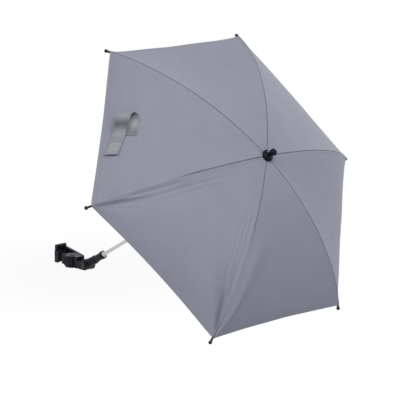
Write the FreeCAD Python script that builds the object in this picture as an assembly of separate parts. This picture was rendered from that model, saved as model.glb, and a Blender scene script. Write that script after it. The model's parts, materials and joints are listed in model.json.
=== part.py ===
import FreeCAD, Part
import math
import os

# A parasol for a pram: six fabric gores on six folding ribs, a steel rod in a
# tilting socket, and a clamp that grips an upright pram tube.
# Row frame: origin at the centre of the clamped tube, +Z up along the tube,
# +X the way the rod leans. Pole frame: origin on the tilt pivot, +Z along the
# rod towards the finial.

V = FreeCAD.Vector

# Fits: pins that turn, pieces that stay put, bodies that pass each other
RUN_GAP = 0.05
SEAT_GAP = 0.03
CLEAR = 0.3

# Lean of the rod from the upright
TILT_DEG = 60.0

# Canopy
RIB_COUNT = 6
FIRST_RIB_DEG = 30.0
TIP_R = 350.0
CROWN_REACH = 643.6
CANOPY_RISE = 136.6
CORNER_INSET = 5.5
FABRIC_T = 0.6
CROWN_HOLE_R = 5.0

# Ribs and stretchers
RIB_W = 2.6
RIB_H = 2.4
RIB_WALL = 0.6
HINGE_R = 9.0
TONGUE_R = 2.0
RING_WIRE_R = 0.6
CLIP_AT_R = 168.0
CLIP_LENGTH = 8.0
CLIP_WALL = 0.5
CLIP_RIVET_R = 0.7
BAR_W = 3.2
BAR_H = 2.6
BAR_WALL = 0.7
TONGUE_TAIL = 2.5

# Rib tips
TIP_BALL_R = 3.8
TIP_BANDS = 8
TIP_WALL = 0.3
TIP_STEM = 15.0
TIP_DEPTH = 2.0

# Rod and what sits on it
ROD_R = 4.0
ROD_WALL = 0.8
ROD_FOOT_Z = 32.0
NOTCH_RIM = 3.5
NOTCH_UNDER = 3.2
NOTCH_OVER = 1.7
NOTCH_HUB = 11.0
RUNNER_WALL = 2.7
RUNNER_LENGTH = 44.0
RUNNER_HUB = 6.0
RUNNER_RIM_R = 9.2
CATCH_BELOW = 24.0
CATCH_LENGTH = 10.0
CATCH_W = 2.7
CATCH_TRAVEL = 1.6
STOP_R = 5.8
STOP_H = 4.0
WASHER_R = 10.6
WASHER_T = 1.2
FINIAL_BASE_R = 11.8
FINIAL_BASE_H = 10.0
FINIAL_NECK_R = 4.6
FINIAL_BALL_R = 7.2
FINIAL_BANDS = 8
FINIAL_BALL_UP = 19.5
FINIAL_DEPTH = 8.0

# Socket
EYE_R = 12.0
EYE_HALF_W = 6.7
NECK_R = 9.8
NECK_GROOVE = 1.1
NECK_RINGS = 3
NECK_LENGTH = 23.0
SLEEVE_WALL = 3.8
SLEEVE_LENGTH = 28.0
SLEEVE_GROOVES = 8
SLEEVE_GROOVE = 0.8
MOUTH_LIP = 1.1
MOUTH_RING = 6.0
COLLAR_WALL = 2.2
COLLAR_SUNK = 3.6
COLLAR_OUT = 5.5
CROSS_RIVET_R = 1.5

# Clamp
TUBE_R = 11.0
PAD_T = 2.0
PAD_HALF_DEG = 55.0
CLAMP_HALF_H = 13.0
PAD_INSET = 1.5
JAW_WALL = 8.0
JAW_T = 7.65
LIP_UP = 14.0
LIP_R = 4.2
SPINE_T = 6.0
SPINE_RISE = 6.0
SPINE_CORNER = 10.0
KNOB_Y = -4.0
KNOB_R = 16.5
CAM_BASE = 15.0
CAM_RISE = 5.0
CAM_HALF_DEG = 45.0
FLUTE_R = 5.0
FLUTE_DEPTH = 1.5
FLUTES = 6
FLANGE_LIP = 1.0
FLANGE_TOP_T = 3.2
FLANGE_FOOT_T = 2.6
AXLE_R = 3.0
AXLE_HEAD_R = 5.0
AXLE_HEAD = 1.4
WALL_T = 7.0
RAIL_W = 4.4
RAIL_HEAD_W = 8.4
KNUCKLE_REACH = 23.0
LUG_T = 4.5
LUG_TOP_Z = 5.0
BOLT_R = 2.5
BOLT_HEAD_R = 7.0
BOLT_HEAD = 2.2
BOLT_CROWN = 1.4
NUT_H = 4.0
EDGE_R = 2.5

# Closure strap on the gore between the fourth and the fifth rib
STRAP_W = 26.0
STRAP_T = 1.4
STRAP_UP = 59.0
STRAP_SIDE = 6.0
STRAP_SEWN = 14.0
STRAP_RISE = 24.0
STRAP_LIFT = 3.0
STRAP_ARCH_R = 9.5
STRAP_RETURN = 86.0
STRAP_FALL = 17.0
STRAP_SLANT = 0.32
PATCH_L = 24.0
PATCH_T = 1.0
PATCH_INSET = 2.0

GORE_DEG = 360.0 / RIB_COUNT
HALF_COS = math.cos(math.radians(GORE_DEG / 2))
HALF_TAN = math.tan(math.radians(GORE_DEG / 2))
TIP_Z = CROWN_REACH - CANOPY_RISE
RIB_RHO = (TIP_R ** 2 + CANOPY_RISE ** 2) / (2 * CANOPY_RISE)
ARC_Z = CROWN_REACH - RIB_RHO
TIP_ANGLE = math.asin(TIP_R / RIB_RHO)
CLIP_ANGLE = math.asin(CLIP_AT_R / RIB_RHO)
CLIP_BODY = RIB_H / 2 + RUN_GAP + CLIP_WALL
CLIP_DROP = CLIP_BODY + TONGUE_R + CLEAR
TONGUE_T = RIB_W - 2 * RIB_WALL
STEM_R = math.hypot(RIB_W / 2, RIB_H / 2) + RUN_GAP + TIP_WALL
SLOT_W = TONGUE_T + 2 * CLEAR
HINGE_Z = ARC_Z + math.sqrt(RIB_RHO ** 2 - HINGE_R ** 2)
JOINT_R = (RIB_RHO - CLIP_DROP) * math.sin(CLIP_ANGLE)
JOINT_Z = ARC_Z + (RIB_RHO - CLIP_DROP) * math.cos(CLIP_ANGLE)
STRETCHER = math.hypot(JOINT_R - HINGE_R, HINGE_Z - JOINT_Z)
RUNNER_Z = 2 * JOINT_Z - HINGE_Z
NOTCH_R = HINGE_R + NOTCH_RIM
HUB_R = HINGE_R - TONGUE_R - CLEAR - 0.5
BAR_START = NOTCH_RIM + 2.5
ROD_BORE_R = ROD_R - ROD_WALL
RUNNER_BORE_R = ROD_R + CLEAR
RUNNER_SLEEVE_R = RUNNER_BORE_R + RUNNER_WALL
CATCH_Z = RUNNER_Z - CATCH_BELOW
CLIP_HALF_W = RIB_W / 2 + RUN_GAP + CLIP_WALL
CLIP_RIDGE = CLIP_BODY + CLIP_HALF_W * HALF_TAN * math.sin(CLIP_ANGLE)
STEM_RIDGE = STEM_R * math.hypot(1.0, HALF_TAN * math.sin(TIP_ANGLE))
FABRIC_IN = RIB_RHO + max(CLIP_RIDGE, STEM_RIDGE) + 1.1 * CLEAR
FABRIC_OUT = FABRIC_IN + FABRIC_T
RIM_R = TIP_R - CORNER_INSET
CROWN_Z = ARC_Z + FABRIC_OUT
FINIAL_Z = CROWN_Z + CLEAR + WASHER_T
ROD_HEAD_Z = FINIAL_Z + FINIAL_DEPTH

LUG_IN = EYE_HALF_W + CLEAR
LUG_OUT = LUG_IN + LUG_T
LUG_R = EYE_R + 0.5
NECK_Z = LUG_R + 0.5
SLEEVE_Z = NECK_Z + NECK_LENGTH
SLEEVE_R = ROD_R + SLEEVE_WALL
MOUTH_Z = SLEEVE_Z + SLEEVE_LENGTH
COLLAR_R = ROD_R + COLLAR_WALL
RIVET_Z = (max(SLEEVE_Z, ROD_FOOT_Z) + MOUTH_Z - MOUTH_RING) / 2

SEAT_R = TUBE_R + PAD_T + RUN_GAP
JAW_MOUTH = SEAT_R / 2
JAW_HALF_W = SEAT_R * math.sin(math.radians(60)) + 0.8
JAW_BACK_X = -(SEAT_R + JAW_WALL)
SLIDE_X = SEAT_R + JAW_T
CAM_TRAVEL = CAM_RISE * math.radians(40)
KNOB_X = SLIDE_X + CLEAR + CAM_BASE
FLANGE_X = SLIDE_X + CAM_TRAVEL + 1.3
WALL_X = KNOB_X + KNOB_R + 1.5
KNUCKLE_X = WALL_X + WALL_T + KNUCKLE_REACH
SPINE_Y = KNOB_Y + KNOB_R + 1.0
SPINE_OUT = SPINE_Y + SPINE_T
SLOT_END = SLIDE_X + CAM_TRAVEL + 1.0
FLANGE_R = KNOB_R + FLANGE_LIP
KNOB_TOP = CLAMP_HALF_H - FLANGE_TOP_T - 0.4
KNOB_FOOT = -CLAMP_HALF_H + FLANGE_FOOT_T + 0.4
LIP_Z = CLAMP_HALF_H + LIP_UP

os.makedirs("parts", exist_ok=True)


def save(shape, name):
    """Write one node."""
    shape.exportStep("parts/" + name + ".step")


def on_pole(shape):
    """Move a shape from the pole frame to the row frame."""
    moved = shape.copy()
    moved.rotate(V(0, 0, 0), V(0, 1, 0), TILT_DEG)
    moved.translate(V(KNUCKLE_X, 0, 0))
    return moved


def at_rib(shape, number):
    """Turn a shape drawn in the XZ plane to the plane of a rib."""
    turned = shape.copy()
    turned.rotate(V(0, 0, 0), V(0, 0, 1), FIRST_RIB_DEG + GORE_DEG * (number - 1))
    return turned


def box(x0, x1, y0, y1, z0, z1):
    """Box between two corners."""
    return Part.makeBox(x1 - x0, y1 - y0, z1 - z0, V(x0, y0, z0))


def rod_z(radius, z0, z1, x=0.0, y=0.0):
    """Cylinder along Z."""
    return Part.makeCylinder(radius, z1 - z0, V(x, y, z0))


def rod_y(radius, y0, y1, x=0.0, z=0.0):
    """Cylinder along Y."""
    return Part.makeCylinder(radius, y1 - y0, V(x, y0, z), V(0, 1, 0))


def rod_x(radius, x0, x1, y=0.0, z=0.0):
    """Cylinder along X."""
    return Part.makeCylinder(radius, x1 - x0, V(x0, y, z), V(1, 0, 0))


def tube_z(outer, inner, z0, z1):
    """Tube along Z."""
    return rod_z(outer, z0, z1).cut(rod_z(inner, z0 - 1, z1 + 1))


def revolved(edges):
    """Turn a closed outline in the XZ plane once around Z."""
    face = Part.Face(Part.Wire(edges))
    return face.revolve(V(0, 0, 0), V(0, 0, 1), 360)


def line(a, b):
    """Straight edge."""
    return Part.makeLine(a, b)


def arc(a, m, b):
    """Circular edge through three points."""
    return Part.Arc(a, m, b).toShape()


def round_uprights(shape, places, radius):
    """Round the upright edges that stand at the given places in plan."""
    edges = []
    for edge in shape.Edges:
        a = edge.Vertexes[0].Point
        b = edge.Vertexes[-1].Point
        if abs(a.x - b.x) > 1e-3 or abs(a.y - b.y) > 1e-3 or abs(a.z - b.z) < 1e-3:
            continue
        if any(math.hypot(a.x - x, a.y - y) < 1e-3 for x, y in places):
            edges.append(edge)
    return shape.makeFillet(radius, edges)


def along_rib(half_w, low, high, from_tip, to_tip):
    """Square bar on the rib's arc, between two lengths short of the tip's centre."""
    start = TIP_ANGLE - from_tip / RIB_RHO
    end = TIP_ANGLE - to_tip / RIB_RHO
    corners = []
    for side, height in ((-1, low), (1, low), (1, high), (-1, high)):
        reach = RIB_RHO + height
        corners.append(V(reach * math.sin(start), side * half_w, ARC_Z + reach * math.cos(start)))
    face = Part.Face(Part.makePolygon(corners + corners[:1]))
    return face.revolve(V(0, 0, ARC_Z), V(0, 1, 0), math.degrees(end - start))


def banded_ball(radius, bands):
    """Ball around the origin, turned from straight bands."""
    points = []
    for step in range(bands + 1):
        angle = math.pi * (step / bands - 0.5)
        points.append(V(radius * math.cos(angle), 0, radius * math.sin(angle)))
    points[0] = V(0, 0, -radius)
    points[-1] = V(0, 0, radius)
    return revolved([Part.makePolygon(points + points[:1])])


def eye_end(length, eye_r):
    """Flat eye at the origin with a tail along +X."""
    half = TONGUE_T / 2
    rise = 0.6 * TONGUE_R
    eye = rod_y(TONGUE_R, -half, half).fuse(box(0, length, -half, half, -rise, rise))
    return eye.cut(rod_y(eye_r, -TONGUE_T, TONGUE_T))


def rib():
    """Curved channel rib, open below, with a flat eye at the crown end."""
    full = RIB_RHO * (TIP_ANGLE - math.asin((HINGE_R + BAR_START) / RIB_RHO))
    bar = along_rib(RIB_W / 2, -RIB_H / 2, RIB_H / 2, full, TIP_DEPTH)
    groove = along_rib(TONGUE_T / 2, -RIB_H, RIB_H / 2 - RIB_WALL, full - TONGUE_TAIL, TIP_STEM + 1.0)
    tongue = eye_end(BAR_START + TONGUE_TAIL, RING_WIRE_R + 2 * RUN_GAP)
    tongue.rotate(V(0, 0, 0), V(0, 1, 0), math.degrees(math.asin((HINGE_R + BAR_START / 2) / RIB_RHO)))
    tongue.translate(V(HINGE_R, 0, HINGE_Z))
    return bar.cut(groove).fuse(tongue).removeSplitter()


def rib_tip():
    """Plastic stem and ball that cap the end of a rib."""
    foot_angle = TIP_ANGLE - TIP_STEM / RIB_RHO
    foot = V(RIB_RHO * math.sin(foot_angle), 0, ARC_Z + RIB_RHO * math.cos(foot_angle))
    way = V(TIP_R, 0, TIP_Z) - foot
    stem = Part.makeCylinder(STEM_R, way.Length, foot, way)
    ball = banded_ball(TIP_BALL_R, TIP_BANDS)
    ball.rotate(V(0, 0, 0), V(0, 1, 0), math.degrees(math.atan2(way.x, way.z)))
    ball.translate(V(TIP_R, 0, TIP_Z))
    bore_h = RIB_H / 2 + RUN_GAP
    bore = along_rib(RIB_W / 2 + RUN_GAP, -bore_h, bore_h, TIP_STEM + 1.0, TIP_DEPTH - RUN_GAP)
    return stem.fuse(ball).removeSplitter().cut(bore)


def rib_clip():
    """Clip crimped on the rib, with two legs and the pin between them."""
    half_w = CLIP_HALF_W
    bore_w = RIB_W / 2 + RUN_GAP
    bore_h = RIB_H / 2 + RUN_GAP
    half = CLIP_LENGTH / 2
    clip = box(-half, half, -half_w, half_w, -CLIP_BODY, CLIP_BODY)
    clip = clip.cut(box(-CLIP_LENGTH, CLIP_LENGTH, -bore_w, bore_w, -bore_h, bore_h))
    legs = box(-TONGUE_R, TONGUE_R, -half_w, half_w, -CLIP_DROP, -CLIP_BODY)
    legs = legs.fuse(rod_y(TONGUE_R, -half_w, half_w, 0.0, -CLIP_DROP)).removeSplitter()
    legs = legs.cut(box(-half, half, -SLOT_W / 2, SLOT_W / 2, -CLIP_DROP - 2 * TONGUE_R, -CLIP_BODY))
    pin = rod_y(CLIP_RIVET_R, -half_w, half_w, 0.0, -CLIP_DROP)
    whole = clip.fuse(legs).fuse(pin).removeSplitter()
    whole.rotate(V(0, 0, 0), V(0, 1, 0), math.degrees(CLIP_ANGLE))
    whole.translate(V(CLIP_AT_R, 0, ARC_Z + RIB_RHO * math.cos(CLIP_ANGLE)))
    return whole


def stretcher():
    """Channel bar from the runner to the rib clip, with a flat eye at each end."""
    tail = BAR_START + TONGUE_TAIL
    inner = eye_end(tail, RING_WIRE_R + 2 * RUN_GAP)
    outer = eye_end(tail, CLIP_RIVET_R + RUN_GAP)
    outer.rotate(V(0, 0, 0), V(0, 0, 1), 180)
    outer.translate(V(STRETCHER, 0, 0))
    bar = box(BAR_START, STRETCHER - BAR_START, -BAR_W / 2, BAR_W / 2, -BAR_H / 2, BAR_H / 2)
    hollow = BAR_W / 2 - BAR_WALL
    ends = tail - 0.1
    bar = bar.cut(box(ends, STRETCHER - ends, -hollow, hollow, -BAR_H, BAR_H / 2 - BAR_WALL))
    whole = bar.fuse(inner).fuse(outer).removeSplitter()
    up = math.degrees(math.atan2(JOINT_Z - RUNNER_Z, JOINT_R - HINGE_R))
    whole.rotate(V(0, 0, 0), V(0, 1, 0), -up)
    whole.translate(V(HINGE_R, 0, RUNNER_Z))
    return whole


def half_gore():
    """Half a gore, from its middle to the rib on the side of larger angles."""
    end = math.asin(RIM_R / FABRIC_OUT)
    radii = (FABRIC_OUT, FABRIC_IN)
    sides = []
    for radius in radii:
        top = V(0, 0, ARC_Z + radius)
        flank = V(radius * HALF_COS, 0, ARC_Z)
        ellipse = Part.Ellipse(top, flank, V(0, 0, ARC_Z))
        sides.append(Part.ArcOfEllipse(ellipse, 0.0, end).toShape())
    tops = [V(0, 0, ARC_Z + radius) for radius in radii]
    rims = [
        V(radius * HALF_COS * math.sin(end), 0, ARC_Z + radius * math.cos(end))
        for radius in radii
    ]
    outline = Part.Wire([sides[0], line(rims[0], rims[1]), sides[1], line(tops[1], tops[0])])
    slab = Part.Face(outline).extrude(V(0, TIP_R, 0))
    near = CLEAR / 2
    shift = near / HALF_COS
    corners = [
        V((near + shift) / HALF_TAN, near, 0),
        V(TIP_R, near, 0),
        V(TIP_R, TIP_R * HALF_TAN - shift, 0),
    ]
    wedge = Part.Face(Part.makePolygon(corners + corners[:1])).extrude(V(0, 0, 2 * RIB_RHO))
    wedge.translate(V(0, 0, ARC_Z))
    return slab.common(wedge).cut(rod_z(CROWN_HOLE_R, ARC_Z, CROWN_Z + 10))


def toothed(z, bottom, top, bore, hub_z0, hub_z1):
    """Toothed wheel that holds six eyes on a wire ring at the level z."""
    room = RING_WIRE_R + 0.2
    wheel = rod_z(NOTCH_R, bottom, top)
    wheel = wheel.cut(tube_z(HINGE_R + room, HINGE_R - room, z - room, top + 1))
    for number in range(1, RIB_COUNT + 1):
        slot = box(HUB_R + CLEAR, NOTCH_R + 2, -SLOT_W / 2, SLOT_W / 2, bottom - 1, top + 1)
        wheel = wheel.cut(at_rib(slot, number))
    wheel = wheel.fuse(rod_z(HUB_R, hub_z0, hub_z1)).removeSplitter()
    return wheel.cut(rod_z(bore, hub_z0 - 1, hub_z1 + 1))


def wire_ring(z):
    """Six-sided wire ring through six eyes."""
    points = []
    for step in range(6):
        angle = math.radians(60 * step + 30)
        points.append(V(HINGE_R + RING_WIRE_R * math.cos(angle), 0, z + RING_WIRE_R * math.sin(angle)))
    return revolved([Part.makePolygon(points + points[:1])])


def runner():
    """Sliding runner: toothed wheel, sleeve, finger rim and catch window."""
    under = RUNNER_Z - NOTCH_UNDER + 0.6
    wheel = toothed(RUNNER_Z, under, RUNNER_Z + NOTCH_OVER, RUNNER_BORE_R, under, RUNNER_Z + RUNNER_HUB)
    foot = RUNNER_Z - RUNNER_LENGTH
    sleeve = rod_z(RUNNER_SLEEVE_R, foot, under)
    sleeve = sleeve.fuse(Part.makeCone(RUNNER_RIM_R, RUNNER_SLEEVE_R, 5, V(0, 0, foot)))
    sleeve = sleeve.cut(rod_z(RUNNER_BORE_R, foot - 1, RUNNER_Z))
    reach = CATCH_LENGTH / 2 + 0.8
    side = CATCH_W / 2 + 0.65
    window = box(ROD_BORE_R, NOTCH_R, -side, side, CATCH_Z - reach, CATCH_Z + reach)
    return sleeve.fuse(wheel).removeSplitter().cut(window)


def rod():
    """Steel tube with a slot for the catch and a hole for the rivet."""
    tube = tube_z(ROD_R, ROD_BORE_R, ROD_FOOT_Z, ROD_HEAD_Z)
    reach = CATCH_LENGTH / 2 + 0.5
    side = CATCH_W / 2 + 0.45
    tube = tube.cut(box(ROD_BORE_R / 2, 2 * ROD_R, -side, side, CATCH_Z - reach, CATCH_Z + reach))
    return tube.cut(rod_y(CROSS_RIVET_R + SEAT_GAP, -2 * ROD_R, 2 * ROD_R, 0.0, RIVET_Z))


def runner_catch():
    """Sprung catch inside the rod; its nose comes out through the runner's window."""
    half = CATCH_LENGTH / 2
    side = CATCH_W / 2
    front = ROD_BORE_R - CATCH_TRAVEL - 0.7
    nose = box(0.0, ROD_R - 2 * RUN_GAP, -side, side, CATCH_Z - half, CATCH_Z + half)
    leaf = box(0.8 - ROD_BORE_R, front, 0.15 - side, side - 0.15, CATCH_Z - half - 4, CATCH_Z + half + 4)
    return nose.fuse(leaf).removeSplitter()


def rod_stop():
    """Ring on the rod that the runner comes up against."""
    foot = RUNNER_Z + RUNNER_HUB + 0.4
    return tube_z(STOP_R, ROD_R + SEAT_GAP, foot, foot + STOP_H)


def finial_washer():
    """Disc between the fabric and the finial."""
    return tube_z(WASHER_R, ROD_R + RUN_GAP, CROWN_Z + CLEAR, FINIAL_Z)


def finial():
    """Turned pawn: domed base, slim neck and ball."""
    foot = FINIAL_Z
    centre = foot + FINIAL_BALL_UP
    skirt = 0.35 * FINIAL_BASE_H
    points = [V(0, 0, foot), V(FINIAL_BASE_R - 0.8, 0, foot), V(FINIAL_BASE_R, 0, foot + 0.8)]
    points.append(V(FINIAL_BASE_R, 0, foot + skirt - 0.8))
    for step in range(FINIAL_BANDS // 2 + 1):
        angle = math.pi / 2 * step / (FINIAL_BANDS // 2)
        reach = FINIAL_BASE_R - 0.8 - (FINIAL_BASE_R - 0.8 - FINIAL_NECK_R) * math.sin(angle)
        points.append(V(reach, 0, foot + FINIAL_BASE_H - (FINIAL_BASE_H - skirt) * math.cos(angle)))
    start = -math.acos(FINIAL_NECK_R / FINIAL_BALL_R)
    for step in range(FINIAL_BANDS + 1):
        angle = start + (math.pi / 2 - start) * step / FINIAL_BANDS
        points.append(V(FINIAL_BALL_R * math.cos(angle), 0, centre + FINIAL_BALL_R * math.sin(angle)))
    points[-1] = V(0, 0, centre + FINIAL_BALL_R)
    whole = revolved([Part.makePolygon(points + points[:1])])
    return whole.cut(rod_z(ROD_R + RUN_GAP, foot - 1, ROD_HEAD_Z + RUN_GAP))


def rod_socket():
    """Black socket: eye, ridged neck and grooved sleeve with an end ring."""
    eye = rod_y(EYE_R, -EYE_HALF_W, EYE_HALF_W)
    root = rod_z(EYE_HALF_W - 0.5, EYE_R / 3, SLEEVE_Z)
    core = NECK_R - NECK_GROOVE
    neck = Part.makeCone(core, max(core - 0.8, SLEEVE_R), NECK_LENGTH, V(0, 0, NECK_Z))
    pitch = NECK_LENGTH / NECK_RINGS
    for step in range(NECK_RINGS):
        foot = NECK_Z + pitch * step
        neck = neck.fuse(rod_z(NECK_R - 0.3 * step, foot, foot + 0.6 * pitch))
    sleeve = rod_z(SLEEVE_R, SLEEVE_Z - 2, MOUTH_Z)
    for step in range(SLEEVE_GROOVES):
        inner = SLEEVE_R - SLEEVE_GROOVE
        groove = box(inner, SLEEVE_R + 1, -0.8, 0.8, SLEEVE_Z + 2, MOUTH_Z - MOUTH_RING - 2)
        groove.rotate(V(0, 0, 0), V(0, 0, 1), 360.0 * (step + 0.5) / SLEEVE_GROOVES)
        sleeve = sleeve.cut(groove)
    ring = rod_z(SLEEVE_R + MOUTH_LIP, MOUTH_Z - MOUTH_RING, MOUTH_Z)
    whole = eye.fuse(root).fuse(neck).fuse(sleeve).fuse(ring).removeSplitter()
    whole = whole.cut(rod_z(ROD_R + RUN_GAP, ROD_FOOT_Z - SEAT_GAP, MOUTH_Z + 1))
    whole = whole.cut(rod_z(COLLAR_R + RUN_GAP, MOUTH_Z - COLLAR_SUNK - SEAT_GAP, MOUTH_Z + 1))
    whole = whole.cut(rod_y(CROSS_RIVET_R + SEAT_GAP, -2 * SLEEVE_R, 2 * SLEEVE_R, 0.0, RIVET_Z))
    return whole.cut(rod_y(BOLT_R + RUN_GAP, -2 * EYE_HALF_W, 2 * EYE_HALF_W))


def socket_collar():
    """Bright collar in the mouth of the socket."""
    step = 0.4 * COLLAR_OUT
    body = rod_z(COLLAR_R, MOUTH_Z - COLLAR_SUNK, MOUTH_Z + step)
    cone = Part.makeCone(COLLAR_R - 0.4, ROD_R + 1.0, COLLAR_OUT - step, V(0, 0, MOUTH_Z + step))
    body = body.fuse(cone).removeSplitter()
    return body.cut(rod_z(ROD_R + SEAT_GAP, MOUTH_Z - 2 * COLLAR_SUNK, MOUTH_Z + 2 * COLLAR_OUT))


def rod_rivet():
    """Rivet across the sleeve and the rod."""
    reach = SLEEVE_R + 0.8
    shank = rod_y(CROSS_RIVET_R, -reach, reach, 0.0, RIVET_Z)
    shank = shank.fuse(rod_y(CROSS_RIVET_R + 1.1, SLEEVE_R, reach, 0.0, RIVET_Z))
    shank = shank.fuse(rod_y(CROSS_RIVET_R + 1.1, -reach, -SLEEVE_R, 0.0, RIVET_Z))
    return shank.removeSplitter()


def cam_point(alpha):
    """Point of the knob's cam edge where its normal is alpha past -X."""
    angle = math.pi + alpha
    reach = CAM_BASE + CAM_RISE * alpha
    x = reach * math.cos(angle) - CAM_RISE * math.sin(angle)
    y = reach * math.sin(angle) + CAM_RISE * math.cos(angle)
    return V(x, y, 0)


def knob_point(degrees):
    """Point of the knob's grip circle."""
    return V(KNOB_R * math.cos(math.radians(degrees)), KNOB_R * math.sin(math.radians(degrees)), 0)


def clamp_knob():
    """Fluted hand knob whose back edge is a cam of even rise."""
    half = math.radians(CAM_HALF_DEG)
    count = 9
    points = [cam_point(half * (2.0 * i / (count - 1) - 1.0)) for i in range(count)]
    cam = Part.BSplineCurve()
    cam.interpolate(points)
    grip = Part.Arc(knob_point(252), knob_point(353), knob_point(455)).toShape()
    outline = Part.Wire([
        cam.toShape(),
        line(points[-1], knob_point(252)),
        grip,
        line(knob_point(455), points[0]),
    ])
    body = Part.Face(outline).extrude(V(0, 0, KNOB_TOP - KNOB_FOOT))
    body.translate(V(0, 0, KNOB_FOOT))
    for step in range(FLUTES):
        angle = math.radians(272 + 29 * step)
        reach = KNOB_R + FLUTE_R - FLUTE_DEPTH
        x = reach * math.cos(angle)
        y = reach * math.sin(angle)
        body = body.cut(rod_z(FLUTE_R, KNOB_FOOT - 1, KNOB_TOP + 1, x, y))
    body = body.cut(rod_z(AXLE_R + RUN_GAP, KNOB_FOOT - 1, KNOB_TOP + 1))
    body.translate(V(KNOB_X, KNOB_Y, 0))
    return body


def knob_axle():
    """Pin of the knob with a flat round head above the top plate."""
    top = CLAMP_HALF_H + AXLE_HEAD
    pin = rod_z(AXLE_R, -CLAMP_HALF_H + 0.2, top, KNOB_X, KNOB_Y)
    return pin.fuse(rod_z(AXLE_HEAD_R, CLAMP_HALF_H, top, KNOB_X, KNOB_Y)).removeSplitter()


def spine_corner():
    """Room behind the slanting back of the frame, from the slot's end to the end wall."""
    low = -2 * CLAMP_HALF_H
    end_x = WALL_X + WALL_T
    places = [
        (SLOT_END + 2.0, SPINE_OUT),
        (end_x, SPINE_OUT - SPINE_CORNER),
        (end_x, 2 * SPINE_OUT),
        (SLOT_END + 2.0, 2 * SPINE_OUT),
    ]
    corners = [V(x, y, low) for x, y in places]
    return Part.Face(Part.makePolygon(corners + corners[:1])).extrude(V(0, 0, -2 * low))


def knob_flange(low, high):
    """Plate over or under the knob, from the sliding jaw to the end wall."""
    plate = rod_z(FLANGE_R, low, high, KNOB_X, KNOB_Y)
    plate = plate.fuse(box(FLANGE_X, WALL_X + 1, -JAW_HALF_W, SPINE_Y + 1, low, high))
    plate = plate.common(box(FLANGE_X, WALL_X + 1, -2 * FLANGE_R, 2 * FLANGE_R, low, high))
    return plate.cut(spine_corner())


def spine_web():
    """Sloping top of the spine, from the lip down to the plate."""
    back = JAW_BACK_X + EDGE_R + 0.5
    top = CLAMP_HALF_H + SPINE_RISE
    places = [
        (back, CLAMP_HALF_H - 1),
        (back, top),
        (-SEAT_R, top),
        (SLOT_END + 2.0, CLAMP_HALF_H),
        (SLOT_END + 2.0, CLAMP_HALF_H - 1),
    ]
    corners = [V(x, SPINE_Y, z) for x, z in places]
    return Part.Face(Part.makePolygon(corners + corners[:1])).extrude(V(0, SPINE_T, 0))


def clamp_frame():
    """Moulded frame: far jaw with a lip, spine, two flanges for the knob and two lugs."""
    half = CLAMP_HALF_H
    end_x = WALL_X + WALL_T
    jaw = box(JAW_BACK_X, -JAW_MOUTH, -JAW_HALF_W, SPINE_OUT, -half, half)
    jaw = jaw.fuse(box(JAW_BACK_X, end_x, SPINE_Y, SPINE_OUT, -half, half))
    jaw = jaw.fuse(box(WALL_X, end_x, -JAW_HALF_W, SPINE_OUT, -half, half)).removeSplitter()
    jaw = jaw.cut(spine_corner())
    corners = [(JAW_BACK_X, -JAW_HALF_W), (JAW_BACK_X, SPINE_OUT), (end_x, -JAW_HALF_W)]
    corners += [(end_x, SPINE_OUT - SPINE_CORNER)]
    frame = round_uprights(jaw, corners, EDGE_R).fuse(spine_web())
    lip_in = -(TUBE_R + 2.5)
    near = EDGE_R - JAW_HALF_W
    far = SPINE_OUT - EDGE_R
    lip = box(JAW_BACK_X, lip_in, near, far, half - 1, LIP_Z - LIP_R)
    frame = frame.fuse(lip).fuse(rod_y(LIP_R, near, far, JAW_BACK_X + LIP_R, LIP_Z - LIP_R))
    frame = frame.fuse(knob_flange(half - FLANGE_TOP_T, half))
    frame = frame.fuse(knob_flange(-half, -half + FLANGE_FOOT_T))
    for side in (-1, 1):
        arm = box(WALL_X + 1, KNUCKLE_X, LUG_IN, LUG_OUT, -LUG_R, LUG_TOP_Z)
        arm = arm.fuse(rod_y(LUG_R, LUG_IN, LUG_OUT, KNUCKLE_X))
        if side < 0:
            arm = arm.mirror(V(0, 0, 0), V(0, 1, 0))
        frame = frame.fuse(arm)
    frame = frame.removeSplitter()
    frame = frame.cut(rod_z(SEAT_R, -half - 1, half))
    frame = frame.cut(rod_z(TUBE_R + 1.5, half - 0.01, LIP_Z + 10))
    frame = frame.cut(rod_y(BOLT_R + SEAT_GAP, -2 * LUG_OUT, 2 * LUG_OUT, KNUCKLE_X))
    frame = frame.cut(rod_z(AXLE_R + SEAT_GAP, -half - 1, half + 1, KNOB_X, KNOB_Y))
    slot = RAIL_W / 2 + 0.4
    head = RAIL_HEAD_W / 2 + 0.4
    start = SLIDE_X - 11.7 - CAM_TRAVEL - 1.0
    frame = frame.cut(box(start, SLOT_END, SPINE_Y - 1, SPINE_Y + 2, -slot, slot))
    frame = frame.cut(box(start, SLOT_END, SPINE_Y + 1.6, SPINE_Y + 4.6, -head, head))
    for step in range(2):
        y = KNOB_Y + AXLE_HEAD_R + 3.5 + 5.0 * step
        frame = frame.cut(box(FLANGE_X + 4.5, WALL_X + 3, y, y + 1.6, half - 0.7, half + 1))
    return frame


def pad_ring():
    """Rubber liner of one jaw, on the +X side."""
    half_h = CLAMP_HALF_H - PAD_INSET
    ring = tube_z(TUBE_R + PAD_T, TUBE_R, -half_h, half_h)
    reach = 4 * TUBE_R
    side = reach * math.tan(math.radians(PAD_HALF_DEG))
    corners = [V(0, 0, -half_h), V(reach, -side, -half_h), V(reach, side, -half_h), V(0, 0, -half_h)]
    return ring.common(Part.Face(Part.makePolygon(corners)).extrude(V(0, 0, 2 * half_h)))


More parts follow.
